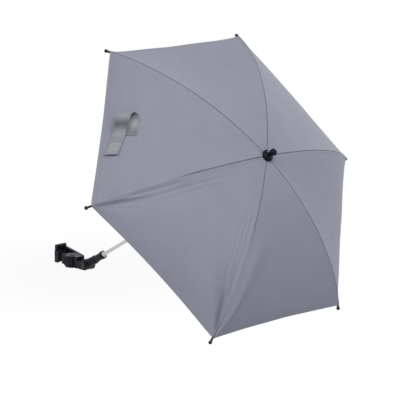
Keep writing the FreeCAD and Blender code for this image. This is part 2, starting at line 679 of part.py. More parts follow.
def sliding_jaw():
    """Jaw that slides on the spine and is pushed by the knob's cam."""
    half_h = CLAMP_HALF_H - PAD_INSET
    rail_x = SLIDE_X - 11.7
    jaw = box(JAW_MOUTH, SLIDE_X, -JAW_HALF_W, SPINE_Y - 0.4, -half_h, half_h)
    jaw = round_uprights(jaw, [(SLIDE_X, -JAW_HALF_W)], EDGE_R)
    jaw = jaw.fuse(box(rail_x, SLIDE_X, SPINE_Y - 1, SPINE_Y + 2.4, -RAIL_W / 2, RAIL_W / 2))
    jaw = jaw.fuse(box(rail_x, SLIDE_X, SPINE_Y + 2.0, SPINE_Y + 4.2, -RAIL_HEAD_W / 2, RAIL_HEAD_W / 2))
    return jaw.removeSplitter().cut(rod_z(SEAT_R, -2 * half_h, 2 * half_h))


def tilt_bolt():
    """Bolt of the tilt knuckle with a raised round head."""
    face = -LUG_OUT - BOLT_HEAD
    shank = rod_y(BOLT_R, -LUG_OUT - 0.5, LUG_OUT + NUT_H + 1.4, KNUCKLE_X)
    head = rod_y(BOLT_HEAD_R, face, -LUG_OUT, KNUCKLE_X)
    crown = Part.makeCone(BOLT_HEAD_R, BOLT_HEAD_R - 2.6, BOLT_CROWN, V(KNUCKLE_X, face, 0), V(0, -1, 0))
    return shank.fuse(head).fuse(crown).removeSplitter()


def tilt_nut():
    """Hexagon nut of the tilt knuckle."""
    corner = 3.2 * BOLT_R / math.sqrt(3.0)
    points = []
    for step in range(7):
        angle = math.radians(60 * step + 30)
        points.append(V(KNUCKLE_X + corner * math.cos(angle), LUG_OUT, corner * math.sin(angle)))
    nut = Part.Face(Part.makePolygon(points)).extrude(V(0, NUT_H, 0))
    return nut.cut(rod_y(BOLT_R + SEAT_GAP, LUG_OUT - 1, LUG_OUT + NUT_H + 1, KNUCKLE_X))


def strap_bend():
    """Length of the strap's arch."""
    turn = math.pi - math.atan2(STRAP_LIFT, STRAP_RISE) + math.atan2(STRAP_FALL, STRAP_RETURN)
    return STRAP_ARCH_R * turn


def strap_path(length):
    """Centre line of the strap in its gore.

    Gives the way along the hem, the height off the fabric, the way up the
    gore, and the tangent's angle to the fabric.
    """
    low = CLEAR + STRAP_T / 2
    if length <= STRAP_SEWN:
        return length - STRAP_SEWN, low, 0.0, 0.0
    length -= STRAP_SEWN
    rise = math.atan2(STRAP_LIFT, STRAP_RISE)
    if length <= STRAP_RISE:
        return length, low + STRAP_LIFT * length / STRAP_RISE, 0.0, rise
    length -= STRAP_RISE
    turn = rise + min(length, strap_bend()) / STRAP_ARCH_R
    along = STRAP_RISE + STRAP_ARCH_R * (math.sin(turn) - math.sin(rise))
    height = low + STRAP_LIFT + STRAP_ARCH_R * (math.cos(rise) - math.cos(turn))
    extra = max(0.0, length - strap_bend())
    along += extra * math.cos(turn)
    height += extra * math.sin(turn)
    return along, height, -STRAP_SLANT * max(0.0, length - STRAP_ARCH_R), turn


def strap_frame():
    """Place of the strap's seam on the outside of its gore: origin and three directions."""
    end = math.asin(RIM_R / FABRIC_OUT)
    slope = math.hypot(HALF_COS * math.cos(end - 0.08), math.sin(end - 0.08))
    angle = end - STRAP_UP / (FABRIC_OUT * slope)
    x = FABRIC_OUT * HALF_COS * math.sin(angle)
    origin = V(x, STRAP_SIDE, ARC_Z + FABRIC_OUT * math.cos(angle))
    normal = V(math.sin(angle) / HALF_COS, 0, math.cos(angle)).normalize()
    upward = V(-HALF_COS * math.cos(angle), 0, math.sin(angle)).normalize()
    return origin, V(0, -1, 0), normal, upward


def strap_section(length, thick, lift, wide):
    """Cross-section of the strap at a length along it."""
    origin, along, normal, upward = strap_frame()
    a, h, u, angle = strap_path(length)
    out = normal * math.cos(angle) - along * math.sin(angle)
    centre = origin + along * a + normal * h + upward * u + out * lift
    corners = []
    for side, face in ((-1, -1), (1, -1), (1, 1), (-1, 1)):
        corners.append(centre + upward * (side * wide / 2) + out * (face * thick / 2))
    return Part.makePolygon(corners + corners[:1])


def strap_length():
    """Length of the strap along its centre line."""
    return STRAP_SEWN + STRAP_RISE + strap_bend() + STRAP_RETURN


def closure_strap():
    """Webbing strap: sewn end, arch and free end."""
    arch = STRAP_SEWN + STRAP_RISE
    stops = [0.0, STRAP_SEWN, arch]
    stops += [arch + strap_bend() * (i + 1) / 8.0 for i in range(8)]
    stops += [strap_length()]
    return Part.makeLoft([strap_section(s, STRAP_T, 0.0, STRAP_W) for s in stops], True, True)


def strap_patch():
    """Hook-and-loop patch on the outer face of the strap's free end."""
    end = strap_length() - PATCH_INSET
    lift = -(STRAP_T / 2 + RUN_GAP + PATCH_T / 2)
    wide = STRAP_W - 2 * PATCH_INSET
    sections = [strap_section(s, PATCH_T, lift, wide) for s in (end - PATCH_L, end)]
    return Part.makeLoft(sections, True, True)


def at_strap_gore(shape):
    """Turn a shape drawn on a gore along +X to the strap's gore."""
    turned = shape.copy()
    turned.rotate(V(0, 0, 0), V(0, 0, 1), FIRST_RIB_DEG + GORE_DEG * 3.5)
    return turned


for index in range(1, RIB_COUNT + 1):
    save(on_pole(at_rib(rib(), index)), "rib_%d" % index)
    save(on_pole(at_rib(rib_tip(), index)), "rib_tip_%d" % index)
    save(on_pole(at_rib(rib_clip(), index)), "rib_clip_%d" % index)
    save(on_pole(at_rib(stretcher(), index)), "stretcher_%d" % index)
    gore = half_gore()
    before = gore.copy()
    before.rotate(V(0, 0, 0), V(0, 0, 1), -GORE_DEG / 2)
    after = gore.mirror(V(0, 0, 0), V(0, 1, 0))
    after.rotate(V(0, 0, 0), V(0, 0, 1), GORE_DEG / 2)
    save(on_pole(at_rib(before, index)), "panel_%d_left" % index)
    save(on_pole(at_rib(after, index)), "panel_%d_right" % index)

notch_top = HINGE_Z + NOTCH_OVER
notch = toothed(HINGE_Z, HINGE_Z - NOTCH_UNDER, notch_top, ROD_R + SEAT_GAP, HINGE_Z - NOTCH_HUB, notch_top)
save(on_pole(rod()), "rod")
save(on_pole(notch), "top_notch")
save(on_pole(wire_ring(HINGE_Z)), "notch_wire")
save(on_pole(runner()), "runner")
save(on_pole(wire_ring(RUNNER_Z)), "runner_wire")
save(on_pole(runner_catch()), "runner_catch")
save(on_pole(rod_stop()), "rod_stop")
save(on_pole(finial_washer()), "finial_washer")
save(on_pole(finial()), "finial")
save(on_pole(rod_socket()), "rod_socket")
save(on_pole(socket_collar()), "socket_collar")
save(on_pole(rod_rivet()), "rod_rivet")
save(on_pole(at_strap_gore(closure_strap())), "closure_strap")
save(on_pole(at_strap_gore(strap_patch())), "strap_patch")

far_pad = pad_ring()
far_pad.rotate(V(0, 0, 0), V(0, 0, 1), 180)
save(clamp_frame(), "clamp_frame")
save(far_pad, "fixed_jaw_pad")
save(sliding_jaw(), "sliding_jaw")
save(pad_ring(), "sliding_jaw_pad")
save(clamp_knob(), "clamp_knob")
save(knob_axle(), "knob_axle")
save(tilt_bolt(), "tilt_bolt")
save(tilt_nut(), "tilt_nut")
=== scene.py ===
import json
import logging
import math
from abc import ABC, abstractmethod
from dataclasses import dataclass
from enum import Enum
from functools import cached_property
from typing import ClassVar, Iterable, Sequence

import bpy
import numpy as np
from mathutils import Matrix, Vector


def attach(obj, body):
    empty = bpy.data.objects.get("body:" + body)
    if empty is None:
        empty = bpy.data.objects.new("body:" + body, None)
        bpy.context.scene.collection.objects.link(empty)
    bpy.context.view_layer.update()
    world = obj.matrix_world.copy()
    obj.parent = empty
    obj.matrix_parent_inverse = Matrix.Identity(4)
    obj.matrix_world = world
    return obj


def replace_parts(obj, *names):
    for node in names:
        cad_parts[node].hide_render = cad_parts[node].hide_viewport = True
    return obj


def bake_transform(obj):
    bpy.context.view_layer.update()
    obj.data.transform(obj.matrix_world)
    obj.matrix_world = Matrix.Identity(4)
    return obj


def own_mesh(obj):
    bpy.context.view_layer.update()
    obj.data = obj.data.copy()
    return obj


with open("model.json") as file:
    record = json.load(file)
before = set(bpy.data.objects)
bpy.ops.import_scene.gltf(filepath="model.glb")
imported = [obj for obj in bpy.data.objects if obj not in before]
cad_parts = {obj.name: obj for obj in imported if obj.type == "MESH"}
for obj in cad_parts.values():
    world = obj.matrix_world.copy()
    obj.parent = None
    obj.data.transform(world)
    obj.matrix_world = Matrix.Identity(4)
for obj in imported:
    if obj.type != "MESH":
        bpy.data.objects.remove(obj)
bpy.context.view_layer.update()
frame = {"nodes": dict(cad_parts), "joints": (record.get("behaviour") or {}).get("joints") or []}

log = logging.getLogger("parasol")

Numbers = tuple[float, ...]
Pair = tuple[float, float]
Triple = tuple[float, float, float]
Colour = Triple
Faces = list[list[int]]
Array = np.ndarray
Shell = tuple[Array, Faces]
Piece = bpy.types.Object
Material = bpy.types.Material
Tree = bpy.types.NodeTree
Node = bpy.types.Node
Socket = bpy.types.NodeSocket

TINY = 1e-6
WHITE = (1.0, 1.0, 1.0, 1.0)
# Range in which soft noise mostly lies.
NOISE_SPAN = (0.3, 0.7)


class Slot(Enum):
    """Material slots of the record."""

    CLOTH = "canopy_fabric"
    WEBBING = "strap_webbing"
    PATCH = "strap_patch"
    TIP = "tip_plastic"
    FRAME = "frame_steel"
    ROD = "rod_steel"
    COLLAR = "collar_chrome"
    FINIAL = "finial_gloss"
    CLAMP = "clamp_plastic"
    KNOB = "knob_plastic"
    PAD = "pad_rubber"
    FASTENER = "fastener_steel"
    BOLT = "bolt_black"
    RUNNER = "runner_plastic"


class Side(Enum):
    """Side of a rib, by the sense of growing angle around the pole."""

    RIGHT = 1
    LEFT = -1


def smooth(value: Array, low: float, high: float) -> Array:
    """Ease values from 0 at low to 1 at high."""
    share = np.clip((value - low) / (high - low), 0.0, 1.0)
    return share * share * (3.0 - 2.0 * share)


def bell(value: Array, half: Array | float) -> Array:
    """Hump that is 1 where value is zero and falls off on both sides within about its half width."""
    return np.exp(-((value / half) ** 2))


def settle(value: Array, length: float) -> Array:
    """Grow from 0 where value is zero towards 1, mostly within a length."""
    return 1.0 - np.exp(-value / length)


def full_turn(steps: int) -> Array:
    """Angles of equal steps around a full turn."""
    return np.linspace(0.0, 2.0 * math.pi, steps, endpoint=False)


@dataclass(frozen=True)
class PoleFrame:
    """Frame on the tilt pivot, with z along the rod towards the finial.

    Attributes:
        origin: Place of the tilt pivot in the row frame.
        axes: Directions of x, y and z in the row frame, one per row.
    """

    origin: Array
    axes: Array

    @classmethod
    def from_joints(cls, joints: list[dict]) -> "PoleFrame":
        """Find the pole from the joints of the frame.

        Args:
            joints: Joints as the frame gives them.

        Returns:
            The pole's frame.
        """
        found = {joint["name"]: joint for joint in joints}
        x_axis = np.array(found["catch_press"]["axis"], float)
        x_axis /= np.linalg.norm(x_axis)
        y_axis = np.array(found["tilt"]["axis"], float)
        origin = np.array(found["tilt"]["pos_m"], float)
        return cls(origin, np.stack([x_axis, y_axis, np.cross(x_axis, y_axis)]))

    def points(self, local: Array) -> Array:
        """Points of the pole frame, in the row frame."""
        return self.origin + np.asarray(local, float) @ self.axes

    def directions(self, local: Array) -> Array:
        """Directions of the pole frame, in the row frame."""
        return np.asarray(local, float) @ self.axes


class MeshKit:
    """Makes mesh pieces from arrays of points and faces."""

    @staticmethod
    def piece(
        name: str, points: Array, faces: Iterable[Sequence[int]], sharp_deg: float | None = None
    ) -> Piece:
        """Make a mesh object and link it to the scene.

        Args:
            name: Name of the piece.
            points: Vertices in the row frame.
            faces: Vertex numbers of each face.
            sharp_deg: Angle above which an edge of a smooth piece is sharp; None leaves it flat.

        Returns:
            The new object.
        """
        mesh = bpy.data.meshes.new(name)
        mesh.from_pydata(np.asarray(points).tolist(), [], [list(face) for face in faces])
        mesh.update()
        if sharp_deg is not None:
            mesh.shade_smooth()
            mesh.set_sharp_from_angle(angle=math.radians(sharp_deg))
        made = bpy.data.objects.new(name, mesh)
        bpy.context.scene.collection.objects.link(made)
        return made

    @staticmethod
    def vector_field(piece: Piece, name: str, values: Array) -> None:
        """Store three numbers on each vertex, one row of values each, for the finish to read by name."""
        attribute = piece.data.attributes.new(name, "FLOAT_VECTOR", "POINT")
        attribute.data.foreach_set("vector", np.asarray(values, np.float32).ravel())

    @staticmethod
    def lathe(profile: Sequence[Pair], segments: int) -> Shell:
        """Turn a profile around z.

        Args:
            profile: Radius and level of each station; the first and the last lie on the axis.
            segments: Steps around the axis.

        Returns:
            Points around z, and faces.
        """
        turns = full_turn(segments)
        rings = [
            np.stack([radius * np.cos(turns), radius * np.sin(turns), np.full(segments, level)], 1)
            for radius, level in profile[1:-1]
        ]
        ends = np.array([[0.0, 0.0, profile[0][1]], [0.0, 0.0, profile[-1][1]]])
        points = np.concatenate(rings + [ends])
        first, last = len(points) - 2, len(points) - 1
        faces: Faces = []
        for step in range(segments):
            after = (step + 1) % segments
            faces.append([first, after, step])
            for ring in range(len(rings) - 1):
                low, high = ring * segments, (ring + 1) * segments
                faces.append([low + step, low + after, high + after, high + step])
            top = (len(rings) - 1) * segments
            faces.append([top + step, top + after, last])
        return points, faces

    @staticmethod
    def loft(rings: Array) -> Faces:
        """Faces of a closed loft through rings of equal size, with its two ends shut.

        Args:
            rings: Array of rings, points and coordinates.

        Returns:
            Faces over the rings' points in order.
        """
        count, size = rings.shape[:2]
        faces: Faces = []
        for ring in range(count - 1):
            low, high = ring * size, (ring + 1) * size
            for step in range(size):
                after = (step + 1) % size
                faces.append([low + step, low + after, high + after, high + step])
        faces.append(list(range(size))[::-1])
        faces.append([(count - 1) * size + step for step in range(size)])
        return faces

    @staticmethod
    def hoop(path: Array, radius: float, sides: int = 6) -> Shell:
        """Round tube along a flat closed path.

        Args:
            path: Points of the closed path in order.
            radius: Radius of the tube.
            sides: Sides of the tube's section.

        Returns:
            Points and faces.
        """
        centre = path.mean(0)
        spin = np.cross(path[0] - centre, path[len(path) // 4] - centre)
        spin /= np.linalg.norm(spin)
        tangents = np.roll(path, -1, 0) - np.roll(path, 1, 0)
        tangents /= np.linalg.norm(tangents, axis=1, keepdims=True)
        outward = np.cross(tangents, spin)
        turns = full_turn(sides)
        rings = (
            path[:, None]
            + radius * np.cos(turns)[None, :, None] * outward[:, None]
            + radius * np.sin(turns)[None, :, None] * spin
        )
        count = len(path)
        faces: Faces = []
        for ring in range(count):
            low, high = ring * sides, ((ring + 1) % count) * sides
            for step in range(sides):
                after = (step + 1) % sides
                faces.append([low + step, high + step, high + after, low + after])
        return rings.reshape(-1, 3), faces

    @staticmethod
    def joined(parts: Iterable[Shell]) -> Shell:
        """Several sets of points and faces as one.

        Args:
            parts: Points and faces of each part.

        Returns:
            All points, and faces numbered over them.
        """
        points: list[Array] = []
        faces: Faces = []
        base = 0
        for some, shapes in parts:
            points.append(np.asarray(some))
            faces.extend([[base + corner for corner in face] for face in shapes])
            base += len(some)
        return np.concatenate(points), faces


class Bench:
    """Adds shader nodes to one tree and joins them."""

    # A mix node has sockets of the same name for each kind, so its colour sockets go by number.
    MIX_LOW = 6
    MIX_HIGH = 7
    MIX_RESULT = 2

    def __init__(self, tree: Tree) -> None:
        """Work on a tree."""
        self.tree = tree

    def node(self, kind: str, **settings: object) -> Node:
        """Add a node.

        Args:
            kind: Type name of the node.
            **settings: Properties to set on it.

        Returns:
            The new node.
        """
        made = self.tree.nodes.new(kind)
        for key, value in settings.items():
            setattr(made, key, value)
        return made

    def feed(self, socket: Socket, value: object) -> None:
        """Link an output to an input, or set the input's own value.

        Args:
            socket: Input socket.
            value: Output socket, number, colour or vector.
        """
        if isinstance(value, Socket):
            self.tree.links.new(value, socket)
        else:
            socket.default_value = value

    def math(self, operation: str, *values: object) -> Socket:
        """Combine numbers.

        Args:
            operation: Operation of the math node.
            *values: Numbers or outputs.

        Returns:
            The result's output.
        """
        made = self.node("ShaderNodeMath", operation=operation)
        for socket, value in zip(made.inputs, values):
            self.feed(socket, value)
        return made.outputs[0]

    def ease(
        self, value: object, low: float, high: float, first: float = 0.0, last: float = 1.0
    ) -> Socket:
        """Map a range smoothly on another.

        Args:
            value: Output to map.
            low: Value that gives first.
            high: Value that gives last.
            first: Result at low.
            last: Result at high.

        Returns:
            The mapped output.
        """
        made = self.node("ShaderNodeMapRange", interpolation_type="SMOOTHSTEP")
        for key, number in zip(("From Min", "From Max", "To Min", "To Max"), (low, high, first, last)):
            made.inputs[key].default_value = number
        self.feed(made.inputs["Value"], value)
        return made.outputs["Result"]

    def blend(self, factor: object, low: object, high: object) -> Socket:
        """Mix two colours.

        Args:
            factor: Share of the second colour.
            low: First colour.
            high: Second colour.

        Returns:
            The mixed colour's output.
        """
        made = self.node("ShaderNodeMix", data_type="RGBA")
        self.feed(made.inputs[0], factor)
        self.feed(made.inputs[self.MIX_LOW], low)
        self.feed(made.inputs[self.MIX_HIGH], high)
        return made.outputs[self.MIX_RESULT]

    def noise(self, place: Socket, scale: object, detail: float) -> Socket:
        """Add soft noise.

        Args:
            place: Output with the place to look up.
            scale: Fineness, as a number or an output.
            detail: Count of the finer layers.

        Returns:
            The noise's output.
        """
        made = self.node("ShaderNodeTexNoise", noise_dimensions="3D")
        self.feed(made.inputs["Vector"], place)
        self.feed(made.inputs["Scale"], scale)
        made.inputs["Detail"].default_value = detail
        return made.outputs[0]

    def bump(self, height: Socket, strength: float, distance: float) -> Node:
        """Add a bump.

        Args:
            height: Output with the height.
            strength: Strength of the bump.
            distance: Depth that a height of 1 stands for.

        Returns:
            The bump's node.
        """
        made = self.node("ShaderNodeBump")
        made.inputs["Strength"].default_value = strength
        made.inputs["Distance"].default_value = distance
        self.feed(made.inputs["Height"], height)
        return made

    def stored(self, name: str, kind: str = "Vector") -> Socket:
        """Output of an attribute that is stored on the vertices."""
        return self.node("ShaderNodeAttribute", attribute_name=name).outputs[kind]

    def split(self, vector: Socket) -> tuple[Socket, ...]:
        """Take a vector apart.

        Args:
            vector: Output to split.

        Returns:
            Outputs of its three numbers.
        """
        made = self.node("ShaderNodeSeparateXYZ")
        self.feed(made.inputs[0], vector)
        return tuple(made.outputs)

    def in_view(self) -> Socket:
        """Tell what the camera sees from what only gives light.

        Returns:
            Output that is 1 for what is seen straight, in a mirror or through glass, and 0 otherwise.
        """
        path = self.node("ShaderNodeLightPath")
        seen = self.math("MAXIMUM", path.outputs["Is Camera Ray"], path.outputs["Is Transmission Ray"])
        return self.math("MAXIMUM", seen, path.outputs["Is Glossy Ray"])

    def use(self, group: Tree, **inputs: object) -> Node:
        """Add a node group.

        Args:
            group: Tree of the group.
            **inputs: Values of its inputs by name.

        Returns:
            The group's node.
        """
        made = self.node("ShaderNodeGroup", node_tree=group)
        for key, value in inputs.items():
            self.feed(made.inputs[key], value)
        return made


class Effects:
    """Node groups that the finishes share, each made on first use."""

    # Shares of the threads and the slubs in the weave's relief, and of slubs and broad clouds in its shade.
    RELIEF = (0.5, 0.35)
    CLOUDS = (0.3, 0.7)
    # Ends of a stitch as shares of its length from the middle, and its sides as shares of its width.
    STITCH_ENDS = (0.36, 0.44)
    STITCH_SIDES = (0.35, 0.6)
    # Cosines of an edge's turn from unrubbed to rubbed, and the range of noise that breaks the rubbing up.
    RUB_TURN = (0.99, 0.86)
    RUB_SPOTS = (0.38, 0.62)

    @staticmethod
    def start(name: str, inputs: dict[str, str], outputs: dict[str, str]) -> tuple[Bench, Node, Node]:
        """Begin a group with its sockets.

        Args:
            name: Name of the group.
            inputs: Kind of each input socket by name.
            outputs: Kind of each output socket by name.

        Returns:
            A bench on the group, its input node and its output node.
        """
        tree = bpy.data.node_groups.new(name, "ShaderNodeTree")
        for way, sockets in (("INPUT", inputs), ("OUTPUT", outputs)):
            for label, kind in sockets.items():
                tree.interface.new_socket(name=label, in_out=way, socket_type="NodeSocket" + kind)
        bench = Bench(tree)
        return bench, bench.node("NodeGroupInput"), bench.node("NodeGroupOutput")

    @cached_property
    def weave(self) -> Tree:
        """Plain weave: threads over and under, and slubs along them.

        Returns:
            The group's tree.
        """
        bench, given, result = self.start(
            "Plain weave", {"At": "Vector", "Threads": "Float"}, {"Height": "Float", "Shade": "Float"}
        )
        place, threads = given.outputs["At"], given.outputs["Threads"]
        over, along, _ = bench.split(place)
        warp = bench.math("SINE", bench.math("MULTIPLY", over, threads))
        weft = bench.math("SINE", bench.math("MULTIPLY", along, threads))
        cross = bench.math("MULTIPLY", warp, weft)
        slub = bench.noise(place, scale=210.0, detail=3.0)
        broad = bench.noise(place, scale=26.0, detail=5.0)
        slubs = bench.math("MULTIPLY", slub, self.RELIEF[1])
        clouds = bench.math("MULTIPLY", broad, self.CLOUDS[1])
        height = bench.math("MULTIPLY_ADD", cross, self.RELIEF[0], slubs)
        shade = bench.math("MULTIPLY_ADD", slub, self.CLOUDS[0], clouds)
        bench.feed(result.inputs["Height"], height)
        bench.feed(result.inputs["Shade"], shade)
        return bench.tree

    @cached_property
    def stitches(self) -> Tree:
        """Row of stitches along a line, as a mask.

        Returns:
            The group's tree.
        """
        bench, given, result = self.start(
            "Stitch row",
            {"Away": "Float", "Along": "Float", "Length": "Float", "Width": "Float"},
            {"Mask": "Float"},
        )
        phase = bench.math("FRACT", bench.math("DIVIDE", given.outputs["Along"], given.outputs["Length"]))
        middle = bench.math("ABSOLUTE", bench.math("SUBTRACT", phase, 0.5))
        away = bench.math("DIVIDE", bench.math("ABSOLUTE", given.outputs["Away"]), given.outputs["Width"])
        inside = bench.ease(middle, *self.STITCH_ENDS, 1.0, 0.0)
        near = bench.ease(away, *self.STITCH_SIDES, 1.0, 0.0)
        bench.feed(result.inputs["Mask"], bench.math("MULTIPLY", inside, near))
        return bench.tree

    @cached_property
    def grain(self) -> Tree:
        """Fine spark-eroded grain of a moulding, and slow changes of its sheen.

        Returns:
            The group's tree.
        """
        bench, given, result = self.start(
            "Moulded grain", {"Fineness": "Float"}, {"Height": "Float", "Sheen": "Float"}
        )
        place = bench.node("ShaderNodeTexCoord").outputs["Object"]
        bench.feed(result.inputs["Height"], bench.noise(place, given.outputs["Fineness"], detail=2.0))
        bench.feed(result.inputs["Sheen"], bench.noise(place, scale=70.0, detail=4.0))
        return bench.tree

    @cached_property
    def edges(self) -> Tree:
        """Rounded edges, and a mask of where handling has polished them.

        Returns:
            The group's tree.
        """
        bench, given, result = self.start(
            "Rubbed edges", {"Radius": "Float"}, {"Normal": "Vector", "Mask": "Float"}
        )
        bevel = bench.node("ShaderNodeBevel", samples=6)
        bench.feed(bevel.inputs["Radius"], given.outputs["Radius"])
        surface = bench.node("ShaderNodeNewGeometry")
        dot = bench.node("ShaderNodeVectorMath", operation="DOT_PRODUCT")
        bench.feed(dot.inputs[0], bevel.outputs[0])
        bench.feed(dot.inputs[1], surface.outputs["True Normal"])
        rim = bench.ease(dot.outputs["Value"], *self.RUB_TURN)
        place = bench.node("ShaderNodeTexCoord").outputs["Object"]
        spots = bench.ease(bench.noise(place, scale=260.0, detail=4.0), *self.RUB_SPOTS)
        bench.feed(result.inputs["Normal"], bevel.outputs[0])
        bench.feed(result.inputs["Mask"], bench.math("MULTIPLY", rim, spots))
        return bench.tree


@dataclass(frozen=True)
class Finish(ABC):
    """Look of one material.

    Attributes:
        slot: Slot of the record that it belongs to.
        colour: Base colour in linear light.
        roughness: Roughness of the surface.
    """

    slot: Slot
    colour: Colour
    roughness: float

    def begin(self) -> tuple[Material, Bench, Node]:
        """Start a material with one principled shader.

        Returns:
            The material, a bench on its tree and the shader.
        """
        made = bpy.data.materials.new(self.slot.value)
        made.use_nodes = True
        bench = Bench(made.node_tree)
        shader = made.node_tree.nodes["Principled BSDF"]
        shader.inputs["Base Color"].default_value = (*self.colour, 1.0)
        shader.inputs["Roughness"].default_value = self.roughness
        return made, bench, shader

    @abstractmethod
    def build(self, effects: Effects) -> Material:
        """Make the material with the shared node groups."""

    def shade(self, factor: float) -> tuple[float, float, float, float]:
        """The base colour made lighter or darker."""
        return (*(min(1.0, part * factor) for part in self.colour), 1.0)


@dataclass(frozen=True)
class ClothFinish(Finish):
    """Woven canopy cloth with dark seams, painted shade in sharp creases and a stitched hem.

    Attributes:
        threads: Phase of the weave for each metre.
        relief: Depth of the weave.
        slub_tones: Factors of the base colour in dark and light threads.
        hem: Distance of the hem's stitches from its edge.
        stitch_length: Length of a stitch with its gap.
        stitch_width: Width of a stitch.
        seam_core: Half width of a seam's darkest line.
        seam_reach: Half width of all its dark line.
        seam_tone: Factor of the base colour in a seam.
        seam_share: Share of that colour where a seam shows without gaping.
        stitch_tone: Factor of the base colour on a stitch.
        stitch_share: Share of that colour on a stitch.
        crease_shade_tone: Factor of the base colour for the painted shade in a sharp crease.
    """

    threads: float = 5200.0
    relief: float = 0.0001
    slub_tones: Pair = (0.975, 1.02)
    hem: float = 0.0085
    stitch_length: float = 0.0030
    stitch_width: float = 0.0009
    seam_core: float = 0.0004
    seam_reach: float = 0.0019
    seam_tone: float = 0.3
    seam_share: float = 0.75
    stitch_tone: float = 0.6
    stitch_share: float = 0.5
    crease_shade_tone: float = 0.52

    def build(self, effects: Effects) -> Material:
        """Make the cloth.

        Args:
            effects: Shared node groups.

        Returns:
            The new material.
        """
        made, bench, shader = self.begin()
        place = bench.stored("cloth_at")
        over = bench.split(place)[0]
        from_seam, from_hem, strength = bench.split(bench.stored("cloth_edge"))
        weave = bench.use(effects.weave, At=place, Threads=self.threads)
        row = bench.use(
            effects.stitches,
            Away=bench.math("SUBTRACT", from_hem, self.hem),
            Along=over,
            Length=self.stitch_length,
            Width=self.stitch_width,
        )
        line = bench.ease(from_seam, self.seam_core, self.seam_reach, 1.0, 0.0)
        seam = bench.math("MULTIPLY", line, bench.math("MULTIPLY", strength, self.seam_share))
        thread = bench.math("MULTIPLY", row.outputs["Mask"], self.stitch_share)
        slub = bench.ease(weave.outputs["Shade"], *NOISE_SPAN)
        tone = bench.blend(slub, *(self.shade(factor) for factor in self.slub_tones))
        tone = bench.blend(seam, tone, self.shade(self.seam_tone))
        tone = bench.blend(thread, tone, self.shade(self.stitch_tone))
        # Painted shade: the cloth is darker along the bottoms of sharp creases.
        tone = bench.blend(bench.stored("cloth_crease_shade", "Fac"), tone, self.shade(self.crease_shade_tone))
        bench.feed(shader.inputs["Base Color"], tone)
        bump = bench.bump(weave.outputs["Height"], strength=0.35, distance=self.relief)
        bench.feed(shader.inputs["Normal"], bump.outputs[0])
        shader.inputs["Specular IOR Level"].default_value = 0.22
        shader.inputs["Sheen Weight"].default_value = 0.12
        shader.inputs["Sheen Roughness"].default_value = 0.45
        return made


@dataclass(frozen=True)
class WebbingFinish(Finish):
    """Narrow woven tape with ribs across it, painted shade between the ribs, and painted shade in places
    along the strap.

    Attributes:
        pitch: Distance between ribs.
        depth: Depth of the ribs.
        rib_share: Share of the ribs in the relief.
        slub_tones: Factors of the base colour in dark and light threads.
        dark: Factor of the base colour on sewing thread, and in the places of painted shade on the strap.
        groove: Factor of the base colour for the painted shade between ribs.
        groove_shade_span: Heights of a rib's wave from where that painted shade begins to where it is
            strongest.
        groove_shade_share: Share of that painted shade there.
    """

    pitch: float = 0.0011
    depth: float = 0.00016
    rib_share: float = 0.5
    slub_tones: Pair = (0.9, 1.08)
    dark: float = 0.40
    groove: float = 0.5
    groove_shade_span: Pair = (-0.2, -1.0)
    groove_shade_share: float = 0.3

    def build(self, effects: Effects) -> Material:
        """Make the tape.

        Args:
            effects: Shared node groups.

        Returns:
            The new material.
        """
        made, bench, shader = self.begin()
        place = bench.stored("cloth_at")
        _, along, dimness = bench.split(place)
        phase = 2.0 * math.pi / self.pitch
        weave = bench.use(effects.weave, At=place, Threads=phase)
        rib = bench.math("SINE", bench.math("MULTIPLY", along, phase))
        # Painted shade in the troughs between the tape's ribs.
        between = bench.ease(rib, *self.groove_shade_span, 0.0, self.groove_shade_share)
        slub = bench.ease(weave.outputs["Shade"], *NOISE_SPAN)
        tone = bench.blend(slub, *(self.shade(factor) for factor in self.slub_tones))
        # Colour of the sewing thread, and painted shade in the loop's top, at its foot and on the dip.
        tone = bench.blend(dimness, tone, self.shade(self.dark))
        tone = bench.blend(between, tone, self.shade(self.groove))
        bench.feed(shader.inputs["Base Color"], tone)
        height = bench.math("MULTIPLY_ADD", rib, self.rib_share, weave.outputs["Height"])
        bump = bench.bump(height, strength=0.6, distance=self.depth)
        bench.feed(shader.inputs["Normal"], bump.outputs[0])
        shader.inputs["Specular IOR Level"].default_value = 0.2
        shader.inputs["Sheen Weight"].default_value = 0.15
        return made


